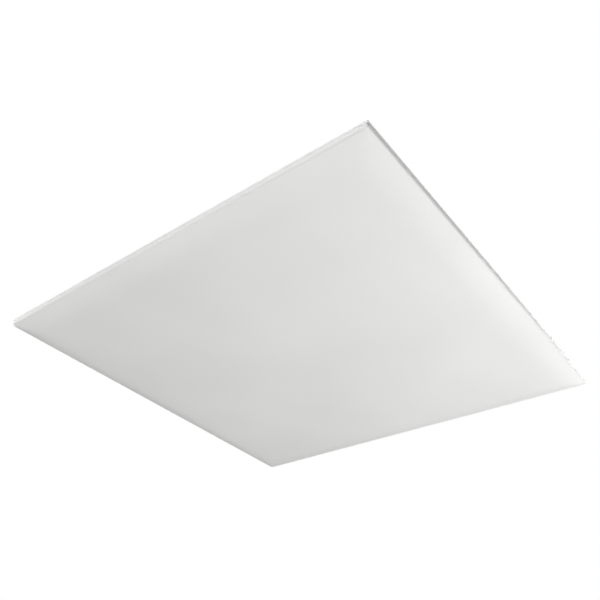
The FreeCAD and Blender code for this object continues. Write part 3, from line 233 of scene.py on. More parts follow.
def solderMask(name, colour, shade):
    # lacquered circuit board: the copper tracks under the lacquer show as low ridges
    look = {"track": 9.0, "stray": 0.6, "edge": (0.26, 0.3), "along": (0.12, 1.0, 1.0), "depth": 0.05}
    material, tree, shader, place = newMaterial(name, {"Roughness": 0.3})
    along = addNode(tree, "ShaderNodeMapping", inputs={"Scale": look["along"]}, links={"Vector": place})
    tracks = addNode(tree, "ShaderNodeTexVoronoi", {"distance": "CHEBYCHEV"},
                     {"Scale": perMetre(look["track"]), "Randomness": look["stray"]},
                     {"Vector": along.outputs[0]})
    edge = addNode(tree, "ShaderNodeMapRange",
                   inputs={"From Min": look["edge"][0], "From Max": look["edge"][1]},
                   links={"Value": tracks.outputs["Distance"]})
    mix = addNode(tree, "ShaderNodeMix", {"data_type": "RGBA"}, {6: linear(colour), 7: linear(shade)},
                  {0: edge.outputs[0]})
    tree.links.new(mix.outputs[2], shader.inputs["Base Color"])
    bump = addNode(tree, "ShaderNodeBump", inputs={"Distance": look["depth"] * mm},
                   links={"Height": edge.outputs[0]})
    tree.links.new(bump.outputs[0], shader.inputs["Normal"])
    return material


# polyester powder baked on sheet steel: fine orange peel and a slight unevenness of gloss
powder = {"patch": 60.0, "detail": 2.0, "sheen": 25.0, "rough": (0.37, 0.49), "grain": 1.3,
          "depth": 0.03}
# stamped steel, bright zinc plated: cool grey with cloudy patches and fine scuffs
plated = {"patch": 9.0, "detail": 4.0, "sheen": 3.0, "rough": (0.26, 0.42), "grain": 0.6, "depth": 0.01}
# injection moulded plastic: even colour under a spark-eroded texture, drawn coarser than the real
# one so that it shows
moulded = {"patch": 12.0, "sheen": 5.0, "rough": (0.4, 0.5), "grain": 0.5, "depth": 0.01}
# extruded PVC insulation: smooth, with slight waviness along the wire
extruded = {"patch": 4.0, "sheen": 4.0, "rough": (0.32, 0.38), "grain": 4.0, "depth": 0.02}
metal = {"Metallic": 1.0}
plastic = {"IOR": 1.53}

finish = {
    "opal": opalAcrylic(),
    "pan": mottled("whitePowderCoat", {**powder, "colour": "#EDEDEB", "shade": "#E6E6E4"}),
    "box": mottled("boxPowderCoat", {**powder, "colour": "#E6E7E6", "shade": "#DEDFDE", "grain": 1.0}),
    "rail": mottled("railPowderCoat", {**powder, "colour": "#F2F2F1", "shade": "#EBEBEA", "grain": 0.9,
                                       "depth": 0.02, "rough": (0.45, 0.57)}),
    "keys": mottled("dieCastZinc", {**plated, "colour": "#AFB2B5", "shade": "#9A9EA1"}, metal),
    "zinc": mottled("zincPlatedSteel", {**plated, "colour": "#C3C6C9", "shade": "#A9ADAE"}, metal),
    "galvanised": galvanisedSheet(),
    # turned brass: warm, with fine rings from the lathe
    "brass": mottled("turnedBrass", {"colour": "#D8B269", "shade": "#B98F45", "patch": 1.0,
                                     "sheen": 1.0, "rough": (0.24, 0.32), "grain": 1.0,
                                     "depth": 0.01, "stretch": (1.0, 1.0, 6.0)}, metal),
    "foam": closedCellFoam(),
    # sintered ferrite: dull dark grey with a fine pressed grain
    "ferrite": mottled("sinteredFerrite", {**moulded, "colour": "#3B3C3E", "shade": "#2F3032",
                                           "rough": (0.55, 0.65), "grain": 0.3, "depth": 0.02}),
    # moulded rubber: nearly black and matt
    "black": mottled("blackRubber", {**moulded, "colour": "#242526", "shade": "#1B1C1D",
                                     "rough": (0.55, 0.65)}, {"IOR": 1.52}),
    "nylon": mottled("naturalNylon", {**moulded, "colour": "#E9E7DF", "shade": "#DEDCD3"}, plastic),
    "housing": mottled("driverShell", {**moulded, "colour": "#E4E5E4", "shade": "#DADBDA",
                                       "rough": (0.45, 0.55), "grain": 0.8, "depth": 0.02}, plastic),
    "grey": mottled("greyPolyamide", {**moulded, "colour": "#8D9092", "shade": "#7F8284"}, plastic),
    "orange": mottled("orangePolyamide", {**moulded, "colour": "#E07A1F", "shade": "#CF6C16"}, plastic),
    "green": mottled("greenPolyamide", {**moulded, "colour": "#2F7D4F", "shade": "#276B43"}, plastic),
    "clear": clearAcrylic(),
    "thread": rolledThread(),
    # tin solder, set from the melt: bright, with a slightly frosted skin
    "solder": mottled("tinSolder", {**plated, "colour": "#C9CCCE", "shade": "#B4B8BA"}, metal),
    # copper wire under amber enamel
    "copper": mottled("enamelledCopper", {"colour": "#C77542", "shade": "#A8552A", "patch": 1.2,
                                          "sheen": 1.2, "rough": (0.26, 0.34), "grain": 0.5,
                                          "depth": 0.01}, metal),
    "package": mottled("lampPackage", {**moulded, "colour": "#F1F0EA", "shade": "#E8E7E0",
                                       "rough": (0.3, 0.4)}, plastic),
    # shrunk PET sleeve over an aluminium can: dark blue and glossy
    "sleeve": mottled("capacitorSleeve", {**moulded, "colour": "#25344F", "shade": "#1E2B43",
                                          "rough": (0.25, 0.35)}, {"IOR": 1.57}),
    # microfoamed white PET sheet: very bright and matt, faintly fibrous
    "foil": mottled("reflectorFoil", {"colour": "#F8F8F6", "shade": "#F0F0EE", "patch": 2.0,
                                      "detail": 6.0, "sheen": 2.0, "rough": (0.66, 0.74),
                                      "grain": 2.0, "depth": 0.02}),
    "whiteMask": solderMask("whiteSolderMask", "#EEF0EE", "#E2E5E2"),
    "greenMask": solderMask("greenSolderMask", "#1F5C3B", "#2B6E49"),
    # silicone with phosphor poured over a lamp chip: warm yellow with a fine grain
    "phosphor": mottled("phosphorSilicone", {"colour": "#EFD36C", "shade": "#D9B23C", "patch": 0.4,
                                             "sheen": 0.4, "rough": (0.2, 0.24), "grain": 0.4,
                                             "depth": 0.004},
                        {"Subsurface Weight": 0.2, "Subsurface Scale": 0.4 * mm, "IOR": 1.41}),
    "parts": mottled("blackComponent", {**moulded, "colour": "#2A2B2D", "shade": "#202123",
                                        "rough": (0.35, 0.45)}, plastic),
    "brown": mottled("brownInsulation", {**extruded, "colour": "#5A3A26", "shade": "#4C301F"}, plastic),
    "blue": mottled("blueInsulation", {**extruded, "colour": "#2B6FB5", "shade": "#245F9C"}, plastic),
    "red": mottled("redInsulation", {**extruded, "colour": "#B3261E", "shade": "#9C2019"}, plastic),
    "dark": mottled("blackInsulation", {**extruded, "colour": "#26272A", "shade": "#1D1E20"}, plastic),
}
print("materials ready")


def meshPiece(name, points, faces, material, smooth=True):
    mesh = bpy.data.meshes.new(name)
    mesh.from_pydata([tuple(p) for p in points], [], faces)
    mesh.validate()
    mesh.materials.append(material)
    piece = bpy.data.objects.new(name, mesh)
    bpy.context.scene.collection.objects.link(piece)
    for polygon in mesh.polygons:
        polygon.use_smooth = smooth
    return piece


def roundedSquare(half, corner, level, turnSteps=8, sideSteps=16):
    # one ring of points round a square with round corners
    points = []
    flat = half - corner
    for quarter in range(4):
        spin = Matrix.Rotation(math.radians(90 * quarter), 3, "Z")
        for step in range(sideSteps):
            points.append(spin @ Vector((half, -flat + 2 * flat * step / sideSteps, level)))
        for step in range(turnSteps):
            angle = math.radians(90 * step / turnSteps)
            points.append(spin @ Vector((flat + corner * math.cos(angle),
                                         flat + corner * math.sin(angle), level)))
    return points


def ringed(rings):
    # skins a stack of rings that all have the same number of points
    points = [p * mm for ring in rings for p in ring]
    count = len(rings[0])
    faces = []
    for layer in range(len(rings) - 1):
        low = layer * count
        high = (layer + 1) * count
        for k in range(count):
            after = (k + 1) % count
            faces.append((low + k, low + after, high + after, high + k))
    return points, faces


def shown(name, mesh, body):
    # puts a finished mesh in the scene as a piece of the light
    piece = bpy.data.objects.new(name, mesh)
    bpy.context.scene.collection.objects.link(piece)
    piece.modifiers.new("weighted", "WEIGHTED_NORMAL").keep_sharp = True
    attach(piece, body)
    return piece


def islandsOf(form):
    # the loose parts of a mesh, as lists of faces
    form.faces.ensure_lookup_table()
    seen = set()
    found = []
    for first in form.faces:
        if first in seen:
            continue
        stack = [first]
        island = []
        seen.add(first)
        while stack:
            face = stack.pop()
            island.append(face)
            for edge in face.edges:
                for near in edge.link_faces:
                    if near not in seen:
                        seen.add(near)
                        stack.append(near)
        found.append(island)
    return found


def spanOf(island):
    # the two opposite corners of the box round a loose part
    points = [vertex.co for face in island for vertex in face.verts]
    low = Vector([min(p[k] for p in points) for k in range(3)])
    high = Vector([max(p[k] for p in points) for k in range(3)])
    return low, high


def camel(node):
    # a node's name in the way that this file writes names
    words = node.split("_")
    return words[0] + "".join(word.capitalize() for word in words[1:])


def softened(node, materials, radius, pick=None):
    # a copy of a CAD piece whose edges are rounded as in the real one
    cleaning = {"merge": 0.002, "flatAngle": 1.0, "sharpAngle": 35.0, "edgeSteps": 2}
    source = nodes[node]
    mesh = source.data.copy()
    mesh.name = camel(node)
    form = bmesh.new()
    form.from_mesh(mesh)
    bmesh.ops.remove_doubles(form, verts=form.verts, dist=cleaning["merge"] * mm)
    bmesh.ops.dissolve_limit(form, angle_limit=math.radians(cleaning["flatAngle"]),
                             verts=form.verts, edges=form.edges)
    for face in form.faces:
        face.material_index = 0
    if pick:
        # loose parts of one node may be of different materials
        for island in islandsOf(form):
            low, high = spanOf(island)
            index = pick((low + high) / (2 * mm))
            for face in island:
                face.material_index = index
    limit = math.radians(cleaning["sharpAngle"])
    sharp = [edge for edge in form.edges if edge.is_manifold and edge.calc_face_angle(0.0) > limit]
    if radius > 0:
        bmesh.ops.bevel(form, geom=sharp, offset=radius * mm, segments=cleaning["edgeSteps"],
                        profile=0.5, affect="EDGES", clamp_overlap=True)
    for face in form.faces:
        face.smooth = True
    # the finishes go on first, because clearing them later would set every face back to the first one
    mesh.materials.clear()
    for material in materials:
        mesh.materials.append(material)
    form.to_mesh(mesh)
    form.free()
    piece = shown(camel(node), mesh, source["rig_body"])
    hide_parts(node)
    return piece


def formMesh(name, form, material):
    # turns a finished form into a smooth mesh of one material
    bmesh.ops.recalc_face_normals(form, faces=form.faces)
    for face in form.faces:
        face.smooth = True
    mesh = bpy.data.meshes.new(name)
    form.to_mesh(mesh)
    form.free()
    mesh.materials.append(material)
    return mesh


def blockSet(name, places, size, material, body, radius):
    # many small blocks with rounded edges in one piece; places are their middles in millimetres
    form = bmesh.new()
    scale = Matrix.Diagonal([value * mm for value in size] + [1.0])
    for place in places:
        made = bmesh.ops.create_cube(form, size=1.0)
        bmesh.ops.transform(form, matrix=Matrix.Translation(Vector(place) * mm) @ scale,
                            verts=made["verts"])
    bmesh.ops.bevel(form, geom=list(form.edges), offset=radius * mm, segments=2, profile=0.5,
                    affect="EDGES", clamp_overlap=True)
    return shown(name, formMesh(name, form, material), body)


def turnedSet(name, outline, places, material, body, axis="Z", steps=32):
    # an outline of radius and height in millimetres, turned round an axis at each place
    form = bmesh.new()
    tilt = {"X": Matrix.Rotation(math.radians(90), 4, "Y"), "Z": Matrix.Identity(4),
            "Y": Matrix.Rotation(math.radians(-90), 4, "X")}[axis]
    for place in places:
        shift = Matrix.Translation(Vector(place) * mm) @ tilt
        rings = []
        for radius, height in outline:
            if radius == 0:
                rings.append([form.verts.new(shift @ Vector((0, 0, height * mm)))])
                continue
            ring = []
            for step in range(steps):
                angle = 2 * math.pi * step / steps
                point = Vector((radius * math.cos(angle), radius * math.sin(angle), height))
                ring.append(form.verts.new(shift @ (point * mm)))
            rings.append(ring)
        for ring, above in zip(rings, rings[1:]):
            for step in range(steps):
                after = (step + 1) % steps
                if len(ring) == 1 and len(above) == 1:
                    break
                if len(ring) == 1:
                    form.faces.new((ring[0], above[after], above[step]))
                elif len(above) == 1:
                    form.faces.new((ring[step], ring[after], above[0]))
                else:
                    form.faces.new((ring[step], ring[after], above[after], above[step]))
    return shown(name, formMesh(name, form, material), body)


def prismSet(name, profile, width, places, material, body, radius):
    # a profile in x and z, drawn out along y and set down at (x, y, z, turn) places
    form = bmesh.new()
    for x, y, z, turn in places:
        shift = (Matrix.Rotation(math.radians(turn), 4, "Z")
                 @ Matrix.Translation(Vector((x, y, z)) * mm))
        sides = [[form.verts.new(shift @ (Vector((a, side * width / 2, b)) * mm))
                  for a, b in profile] for side in (-1, 1)]
        form.faces.new(sides[0])
        form.faces.new(list(reversed(sides[1])))
        for k in range(len(profile)):
            after = (k + 1) % len(profile)
            form.faces.new((sides[0][k], sides[1][k], sides[1][after], sides[0][after]))
    bmesh.ops.bevel(form, geom=list(form.edges), offset=radius * mm, segments=2, profile=0.5,
                    affect="EDGES", clamp_overlap=True)
    return shown(name, formMesh(name, form, material), body)


def crossRecess(piece, reach, width, depth):
    # sinks a cross slot into the top of every loose part of a screw set; bottom and top are shares
    # of its size there, and it is cut from this far above the head
    grow = {"bottom": 0.55, "top": 1.25, "above": 1.0}
    form = bmesh.new()
    form.from_mesh(piece.data)
    tops = [spanOf(island) for island in islandsOf(form)]
    form.free()
    form = bmesh.new()
    corners = [(width, width), (width, reach), (-width, reach), (-width, width),
               (-reach, width), (-reach, -width), (-width, -width), (-width, -reach),
               (width, -reach), (width, -width), (reach, -width), (reach, width)]
    for low, high in tops:
        x, y = (low.x + high.x) / 2, (low.y + high.y) / 2
        # narrower at the bottom, as the driver bit is
        levels = ((high.z - depth * mm, grow["bottom"]),
                  (high.z + grow["above"] * mm, grow["top"]))
        rings = [[form.verts.new((x + a * share * mm, y + b * share * mm, level))
                  for a, b in corners] for level, share in levels]
        form.faces.new(list(reversed(rings[0])))
        form.faces.new(rings[1])
        for k in range(len(corners)):
            after = (k + 1) % len(corners)
            form.faces.new((rings[0][k], rings[0][after], rings[1][after], rings[1][k]))
    cutter = bpy.data.objects.new("cutter", formMesh("cutter", form, finish["zinc"]))
    bpy.context.scene.collection.objects.link(cutter)
    piece.modifiers.clear()
    taken = piece.modifiers.new("recess", "BOOLEAN")
    taken.operation = "DIFFERENCE"
    taken.solver = "EXACT"
    taken.object = cutter
    graph = bpy.context.evaluated_depsgraph_get()
    piece.data = bpy.data.meshes.new_from_object(piece.evaluated_get(graph))
    piece.modifiers.clear()
    piece.modifiers.new("weighted", "WEIGHTED_NORMAL").keep_sharp = True
    bpy.data.objects.remove(cutter)


def makeOpal():
    # one closed shell: side walls, a rounded lower edge and a crown that flattens to the middle
    opal = {"half": 297.5, "depth": 15.0, "wall": 2.2, "crown": 8.0, "flank": 45.0, "power": 3.0,
            "edgeWide": 2.5, "edgeRise": 2.6, "edgeSteps": 8, "flankSteps": 24, "corner": 3.0,
            "crownCorner": 22.0, "innerCorner": 0.8, "leastCorner": 0.5}

    def level(inset):
        # how far the face stands back at this distance from the edge
        if inset >= opal["flank"]:
            return 0.0
        return opal["crown"] * (1 - inset / opal["flank"]) ** opal["power"]

    outline = [(0.0, opal["depth"], opal["corner"])]
    foot = level(opal["edgeWide"])
    for step in range(opal["edgeSteps"] + 1):
        angle = math.radians(90 * step / opal["edgeSteps"])
        outline.append((opal["edgeWide"] * (1 - math.cos(angle)),
                        foot + opal["edgeRise"] * (1 - math.sin(angle)), opal["corner"]))
    for step in range(1, opal["flankSteps"] + 1):
        along = step / opal["flankSteps"]
        inset = opal["edgeWide"] + (opal["flank"] - opal["edgeWide"]) * along
        outline.append((inset, level(inset),
                        opal["corner"] + (opal["crownCorner"] - opal["corner"]) * along))
    outside = [roundedSquare(opal["half"] - inset, corner, height)
               for inset, height, corner in outline]
    inside = [roundedSquare(opal["half"] - opal["wall"], opal["innerCorner"], opal["depth"])]
    inside += [roundedSquare(opal["half"] - opal["wall"] - inset,
                             max(corner - opal["wall"], opal["leastCorner"]),
                             height + opal["wall"])
               for inset, height, corner in outline[1:]]
    points, faces = ringed(outside)
    innerPoints, innerFaces = ringed(inside)
    count = len(outside[0])
    shift = len(points)
    faces.append(tuple(reversed(range(shift - count, shift))))
    faces += [tuple(reversed([k + shift for k in face])) for face in innerFaces]
    points += innerPoints
    faces.append(tuple(range(len(points) - count, len(points))))
    for k in range(count):
        after = (k + 1) % count
        faces.append((k, shift + k, shift + after, after))
    piece = meshPiece("opalTray", points, faces, finish["opal"])
    form = bmesh.new()
    form.from_mesh(piece.data)
    bmesh.ops.recalc_face_normals(form, faces=form.faces)
    form.to_mesh(piece.data)
    form.free()
    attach(piece, "door")
    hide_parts("opal_lens")
    print("opal tray")


makeOpal()


def makeHooks():
    # moulded hooks that snap over the foot of each rail
    hook = {"place": 283.3, "root": 3.6, "under": 12.3, "top": 13.5, "thick": 1.8, "nose": 1.6,
            "lip": 0.3, "length": 18.0, "spread": 150.0, "edge": 0.15}
    tip = hook["thick"] + hook["nose"]
    profile = [(0, hook["root"]), (hook["thick"], hook["root"]), (hook["thick"], hook["under"]),
               (tip, hook["under"]), (tip, hook["under"] + hook["lip"]), (hook["thick"], hook["top"]),
               (0, hook["top"])]
    places = [(hook["place"], side * hook["spread"], 0, 90 * quarter)
              for quarter in range(4) for side in (-1, 1)]
    prismSet("opalHooks", profile, hook["length"], places, finish["opal"], "door",
             hook["edge"])
    print("opal hooks")


makeHooks()


# node: finish, edge radius in millimetres
dressing = {
    "door_rail_catch_side": ("rail", 0.25), "door_rail_hinge_side": ("rail", 0.25),
    "door_rail_front": ("rail", 0.25), "door_rail_rear": ("rail", 0.25),
    "corner_keys": ("keys", 0.2), "door_hinge_leaf_1": ("zinc", 0.12),
    "door_hinge_leaf_2": ("zinc", 0.12), "housing_hinge_arm_1": ("zinc", 0.12),
    "housing_hinge_arm_2": ("zinc", 0.12), "door_hinge_pins": ("zinc", 0.1),
    "catch_magnets": ("ferrite", 0.3), "catch_keepers": ("zinc", 0.15),
    "housing_pan": ("pan", 0.45), "hanger_tabs": ("zinc", 0.3), "clamp_bushes": ("nylon", 0.15),
    "reflector_film": ("foil", 0.0), "film_rivets": ("nylon", 0.25), "gear_box": ("box", 0.4),
    "cable_bushing": ("black", 0.5), "blank_plug": ("black", 0.5), "cable_saddle": ("nylon", 0.4),
    "earth_stud": ("brass", 0.15), "earth_nut": ("brass", 0.2), "driver_base": ("galvanised", 0.15),
    "driver_cover": ("housing", 0.6), "driver_board": ("greenMask", 0.1),
    "driver_ports": ("green", 0.25), "terminal_block": ("grey", 0.3),
    "gear_box_cover": ("box", 0.4), "cover_screw": ("zinc", 0.2),
    "cover_hinge_fixed_leaf": ("zinc", 0.2), "cover_hinge_moving_leaf": ("zinc", 0.2),
    "cover_hinge_pin": ("zinc", 0.15),
}
for k in (1, 2, 3, 4):
    dressing["clamp_shaft_%d" % k] = ("thread", 0.15)
    dressing["clamp_arm_%d" % k] = ("zinc", 0.4)
    dressing["led_board_%d" % k] = ("whiteMask", 0.15)
for k in (1, 2, 3):
    dressing["terminal_lever_%d" % k] = ("orange", 0.35)

for node, (key, radius) in dressing.items():
    softened(node, [finish[key]], radius)
print("dressed", len(dressing), "pieces")


def makeGasket():
    # the cut edges of foam are hardly rounded, and the strip is nearly at its full thickness
    gasket = softened("ceiling_gasket", [finish["foam"]], 0.6)
    print("foam gasket")


def makeScrews():
    # node: edge radius, then the cross slot: reach of an arm, half its width, and its depth
    screws = {"corner_screws": (0.12, 1.3, 0.28, 0.5), "saddle_screws": (0.35, 1.6, 0.35, 1.1),
              "driver_screws": (0.35, 1.6, 0.35, 1.1)}
    for node, (edge, reach, width, depth) in screws.items():
        crossRecess(softened(node, [finish["zinc"]], edge), reach, width, depth)
    print("screws")


def makeWires():
    # the two cores of each pair lie on either side of a line in x (0) or y (1), in millimetres:
    # the colour below the line, the colour above it, which way and where the line is
    pairs = {"mains_leads": ("brown", "blue", 0, 29.0), "led_leads": ("dark", "red", 1, 12.0),
             "board_jumpers": ("dark", "red", 0, 2 * engine["ledPitch"])}
    for node, (below, above, axis, line) in pairs.items():
        softened(node, [finish[below], finish[above]], 0.0,
                 pick=lambda middle: int(middle[axis] > line))
    print("wires")


# four boards with six lamps each; boardUnder is the level of their lower faces
engine = {"boards": 4, "lamps": 6, "ledPitch": 460 / 6, "rowPitch": 115.0, "boardUnder": 59.7}
boardRows = [(row - (engine["boards"] - 1) / 2) * engine["rowPitch"]
             for row in range(engine["boards"])]
ledPlaces = [((column - (engine["lamps"] - 1) / 2) * engine["ledPitch"], y)
             for y in boardRows for column in range(engine["lamps"])]


def makeChips():
    # white package with a round silicone window, soldered on two pads
    chip = {"edge": 0.12, "padOut": 1.75, "padUp": 0.03, "pad": (0.9, 2.4, 0.14), "padEdge": 0.05,
            "window": [(0.0, -0.78), (0.8, -0.77), (1.15, -0.72), (1.22, -0.6)]}
    softened("led_chips", [finish["package"]], chip["edge"])
    under = engine["boardUnder"]
    turnedSet("chipWindows", chip["window"], [(x, y, under) for x, y in ledPlaces],
              finish["phosphor"], "housing", steps=24)
    pads = [(x + side * chip["padOut"], y, under - chip["padUp"]) for x, y in ledPlaces
            for side in (-1, 1)]
    blockSet("solderPads", pads, chip["pad"], finish["solder"], "housing",
             chip["padEdge"])
    print("lamp chips")


def makeOptics():
    # one clear dome over each chip, with a small hollow over the chip
    dome = {"radius": 7.5, "height": 5.6, "rim": 1.7, "hollow": 2.7, "lift": 1.5, "gap": 0.02,
            "bevelWide": 0.15, "bevelTall": 0.2, "crease": 0.1, "steps": 12}
    rise = dome["height"] - dome["rim"]
    ball = (dome["radius"] ** 2 + rise ** 2) / (2 * rise)
    spread = math.asin(dome["radius"] / ball)
    outline = [(0.0, -dome["lift"]), (dome["hollow"], -dome["lift"]), (dome["hollow"], -dome["gap"]),
               (dome["radius"] - dome["bevelWide"], -dome["gap"]),
               (dome["radius"], -dome["bevelTall"]), (dome["radius"], -dome["rim"] + dome["crease"])]
    for step in range(dome["steps"] + 1):
        angle = spread * (1 - step / dome["steps"])
        outline.append((ball * math.sin(angle), ball * (1 - math.cos(angle)) - dome["height"]))
    made = turnedSet("ledOptics", outline, [(x, y, engine["boardUnder"]) for x, y in ledPlaces],
                     finish["clear"], "housing", steps=40)
    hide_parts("led_optics")
    print("optics")


def makeConnectors():
    # push-in connectors with two wire mouths and two release slots each
    plug = {"place": 2 * engine["ledPitch"], "edge": 0.3, "core": 2.5, "face": 4.02, "tall": 2.6,
            "slot": (1.4, 3.2, 0.12), "mouth": (1.7, 0.1, 1.7), "mouthUp": 1.3, "fine": 0.04}
    # small parts that share the board: a resistor row beside each connector
    resistor = {"count": 4, "first": 14.0, "pitch": 4.0, "aside": 7.5, "size": (2.0, 1.2, 0.55),
                "up": 0.25, "edge": 0.08}
    softened("board_connectors", [finish["nylon"]], plug["edge"])
    under = engine["boardUnder"] - plug["tall"]
    cores = [plug["place"] + side * plug["core"] for side in (-1, 1)]
    blockSet("connectorSlots", [(x, y, under) for y in boardRows for x in cores], plug["slot"],
             finish["parts"], "housing", plug["fine"])
    mouths = [(x, y + end * plug["face"], under + plug["mouthUp"])
              for y in boardRows for x in cores for end in (-1, 1)]
    blockSet("connectorContacts", mouths, plug["mouth"], finish["parts"], "housing",
             plug["fine"])
    places = [(plug["place"] - resistor["first"] - resistor["pitch"] * k, y + resistor["aside"],
               engine["boardUnder"] - resistor["up"])
              for y in boardRows for k in range(resistor["count"])]
    blockSet("boardResistors", places, resistor["size"], finish["parts"], "housing",
             resistor["edge"])
    print("connectors")


def makeDriverParts():
    # what stands on the driver's board; along is a place in x and aside in y from a point on it
    board = {"x": -72.0, "y": 16.0, "level": 67.9}
    x, y, level = board["x"], board["y"], board["level"]
    # a choke: two ferrite bars joined by end plates, with enamelled wire wound round the middle
    choke = {"along": -20.0, "up": 7.5, "bar": (22.0, 4.6, 15.0), "barOut": 9.6, "barEdge": 0.5,
             "end": (3.4, 15.2, 15.0), "endOut": 9.2, "endEdge": 0.4, "turns": 13, "pitch": 1.12,
             "first": -26.7, "axisUp": 8.0,
             "wire": [(7.0, -0.5), (7.45, -0.25), (7.55, 0.0), (7.45, 0.25)]}
    bars = [(x + choke["along"], y + side * choke["barOut"], level + choke["up"])
            for side in (-1, 1)]
    core = blockSet("chokeCore", bars, choke["bar"], finish["ferrite"], "housing",
                    choke["barEdge"])
    ends = [(x + choke["along"] + side * choke["endOut"], y, level + choke["up"])
            for side in (-1, 1)]
    blockSet("chokeEnds", ends, choke["end"], finish["ferrite"], "housing",
             choke["endEdge"])
    winding = [(radius, turn * choke["pitch"] + along)
               for turn in range(choke["turns"]) for radius, along in choke["wire"]]
    turnedSet("chokeWinding", winding, [(x + choke["first"], y, level + choke["axisUp"])],
              finish["copper"], "housing", "X", 36)
    # a capacitor can: a dished top, a rolled rim and a crimped groove near the foot
    can = {"along": 22.0, "aside": 8.0, "smallWide": 4 / 5.5, "smallTall": 0.8,
           "outline": [(0.0, 15.0), (4.2, 15.0), (4.4, 14.7), (4.7, 14.7), (5.2, 15.0), (5.5, 14.6),
                       (5.5, 2.4), (5.2, 1.9), (5.5, 1.4), (5.5, 0.2), (5.2, 0.0), (0.0, 0.0)]}
    turnedSet("bulkCapacitor", can["outline"], [(x + can["along"], y + can["aside"], level)],
              finish["sleeve"], "housing", steps=40)
    small = [(radius * can["smallWide"], height * can["smallTall"])
             for radius, height in can["outline"]]
    turnedSet("smallCapacitor", small, [(x + can["along"], y - can["aside"], level)],
              finish["sleeve"], "housing")
    sink = {"along": -52.0, "up": 7.0, "plate": (16.0, 3.0, 14.0), "plateEdge": 0.3,
            "fin": (1.0, 6.0, 13.6), "fins": 6, "first": -59.0, "pitch": 2.8, "finEdge": 0.2}
    blockSet("heatSink", [(x + sink["along"], y, level + sink["up"])], sink["plate"],
             finish["keys"], "housing", sink["plateEdge"])
    fins = [(x + sink["first"] + sink["pitch"] * k, y, level + sink["up"])
            for k in range(sink["fins"])]
    blockSet("heatSinkFins", fins, sink["fin"], finish["keys"], "housing",
             sink["finEdge"])
    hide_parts("driver_parts")
    # solder joints under the board: along and across it, each a little off its place
    joint = {"first": (-68.0, -14.0), "pitch": (9.0, 7.0), "count": (16, 5), "stray": (2.0, 1.0),
             "under": 1.75, "bead": [(0.0, -0.5), (0.35, -0.42), (0.8, -0.05), (0.9, 0.1)]}
    solder = []
    for column in range(joint["count"][0]):
        for row in range(joint["count"][1]):
            offset = [random.uniform(-stray, stray) for stray in joint["stray"]]
            solder.append((x + joint["first"][0] + joint["pitch"][0] * column + offset[0],
                           y + joint["first"][1] + joint["pitch"][1] * row + offset[1],
                           level - joint["under"]))
    turnedSet("solderJoints", joint["bead"], solder, finish["solder"], "housing",
              steps=12)
    # chip resistors in rows on top of the board
    chip = {"first": (40.0, -8.0), "pitch": (5.0, 8.0), "columns": 5, "rows": 3, "up": 0.3,
            "size": (2.2, 1.3, 0.7), "edge": 0.08}
    chips = [(x + chip["first"][0] + chip["pitch"][0] * column,
              y + chip["first"][1] + chip["pitch"][1] * row, level + chip["up"])
             for row in range(chip["rows"]) for column in range(chip["columns"])]
    blockSet("chipResistors", chips, chip["size"], finish["parts"], "housing",
             chip["edge"])
    print("driver parts")


def bead(length, width, rise, steps=10, curved=0.9):
    # a long pressed rib: rounded across and at both ends; curved is the share of its width that
    # follows a circle on the way up, and the rest tapers evenly
    form = bmesh.new()
    rings = []
    for level in range(steps + 1):
        angle = math.radians(90 * level / steps)
        half = width / 2 * (curved * math.cos(angle) + (1 - curved) * (1 - level / steps))
        height = rise * math.sin(angle)
        ring = []
        for side in (0, 1):
            for step in range(steps + 1):
                turn = math.radians(180 * side - 90 + 180 * step / steps)
                shift = (length - width) / 2 * (1 if side == 0 else -1)
                point = Vector((shift + half * math.cos(turn), half * math.sin(turn), height))
                ring.append(form.verts.new(point * mm))
        rings.append(ring)
    count = len(rings[0])
    for low, high in zip(rings, rings[1:]):
        for k in range(count):
            after = (k + 1) % count
            form.faces.new((low[k], low[after], high[after], high[k]))
    form.faces.new(rings[-1])
    return form


def beadSet(name, places, size, material, body):
    # places are (x, y, z, turn about z, tilt about x)
    whole = bmesh.new()
    for x, y, z, turn, tilt in places:
        form = bead(*size)
        shift = (Matrix.Translation(Vector((x, y, z)) * mm)
                 @ Matrix.Rotation(math.radians(turn), 4, "Z")
                 @ Matrix.Rotation(math.radians(tilt), 4, "X"))
        bmesh.ops.transform(form, matrix=shift, verts=form.verts)
        rib = bpy.data.meshes.new("rib")
        form.to_mesh(rib)
        form.free()
        whole.from_mesh(rib)
        bpy.data.meshes.remove(rib)
    return shown(name, formMesh(name, whole, material), body)


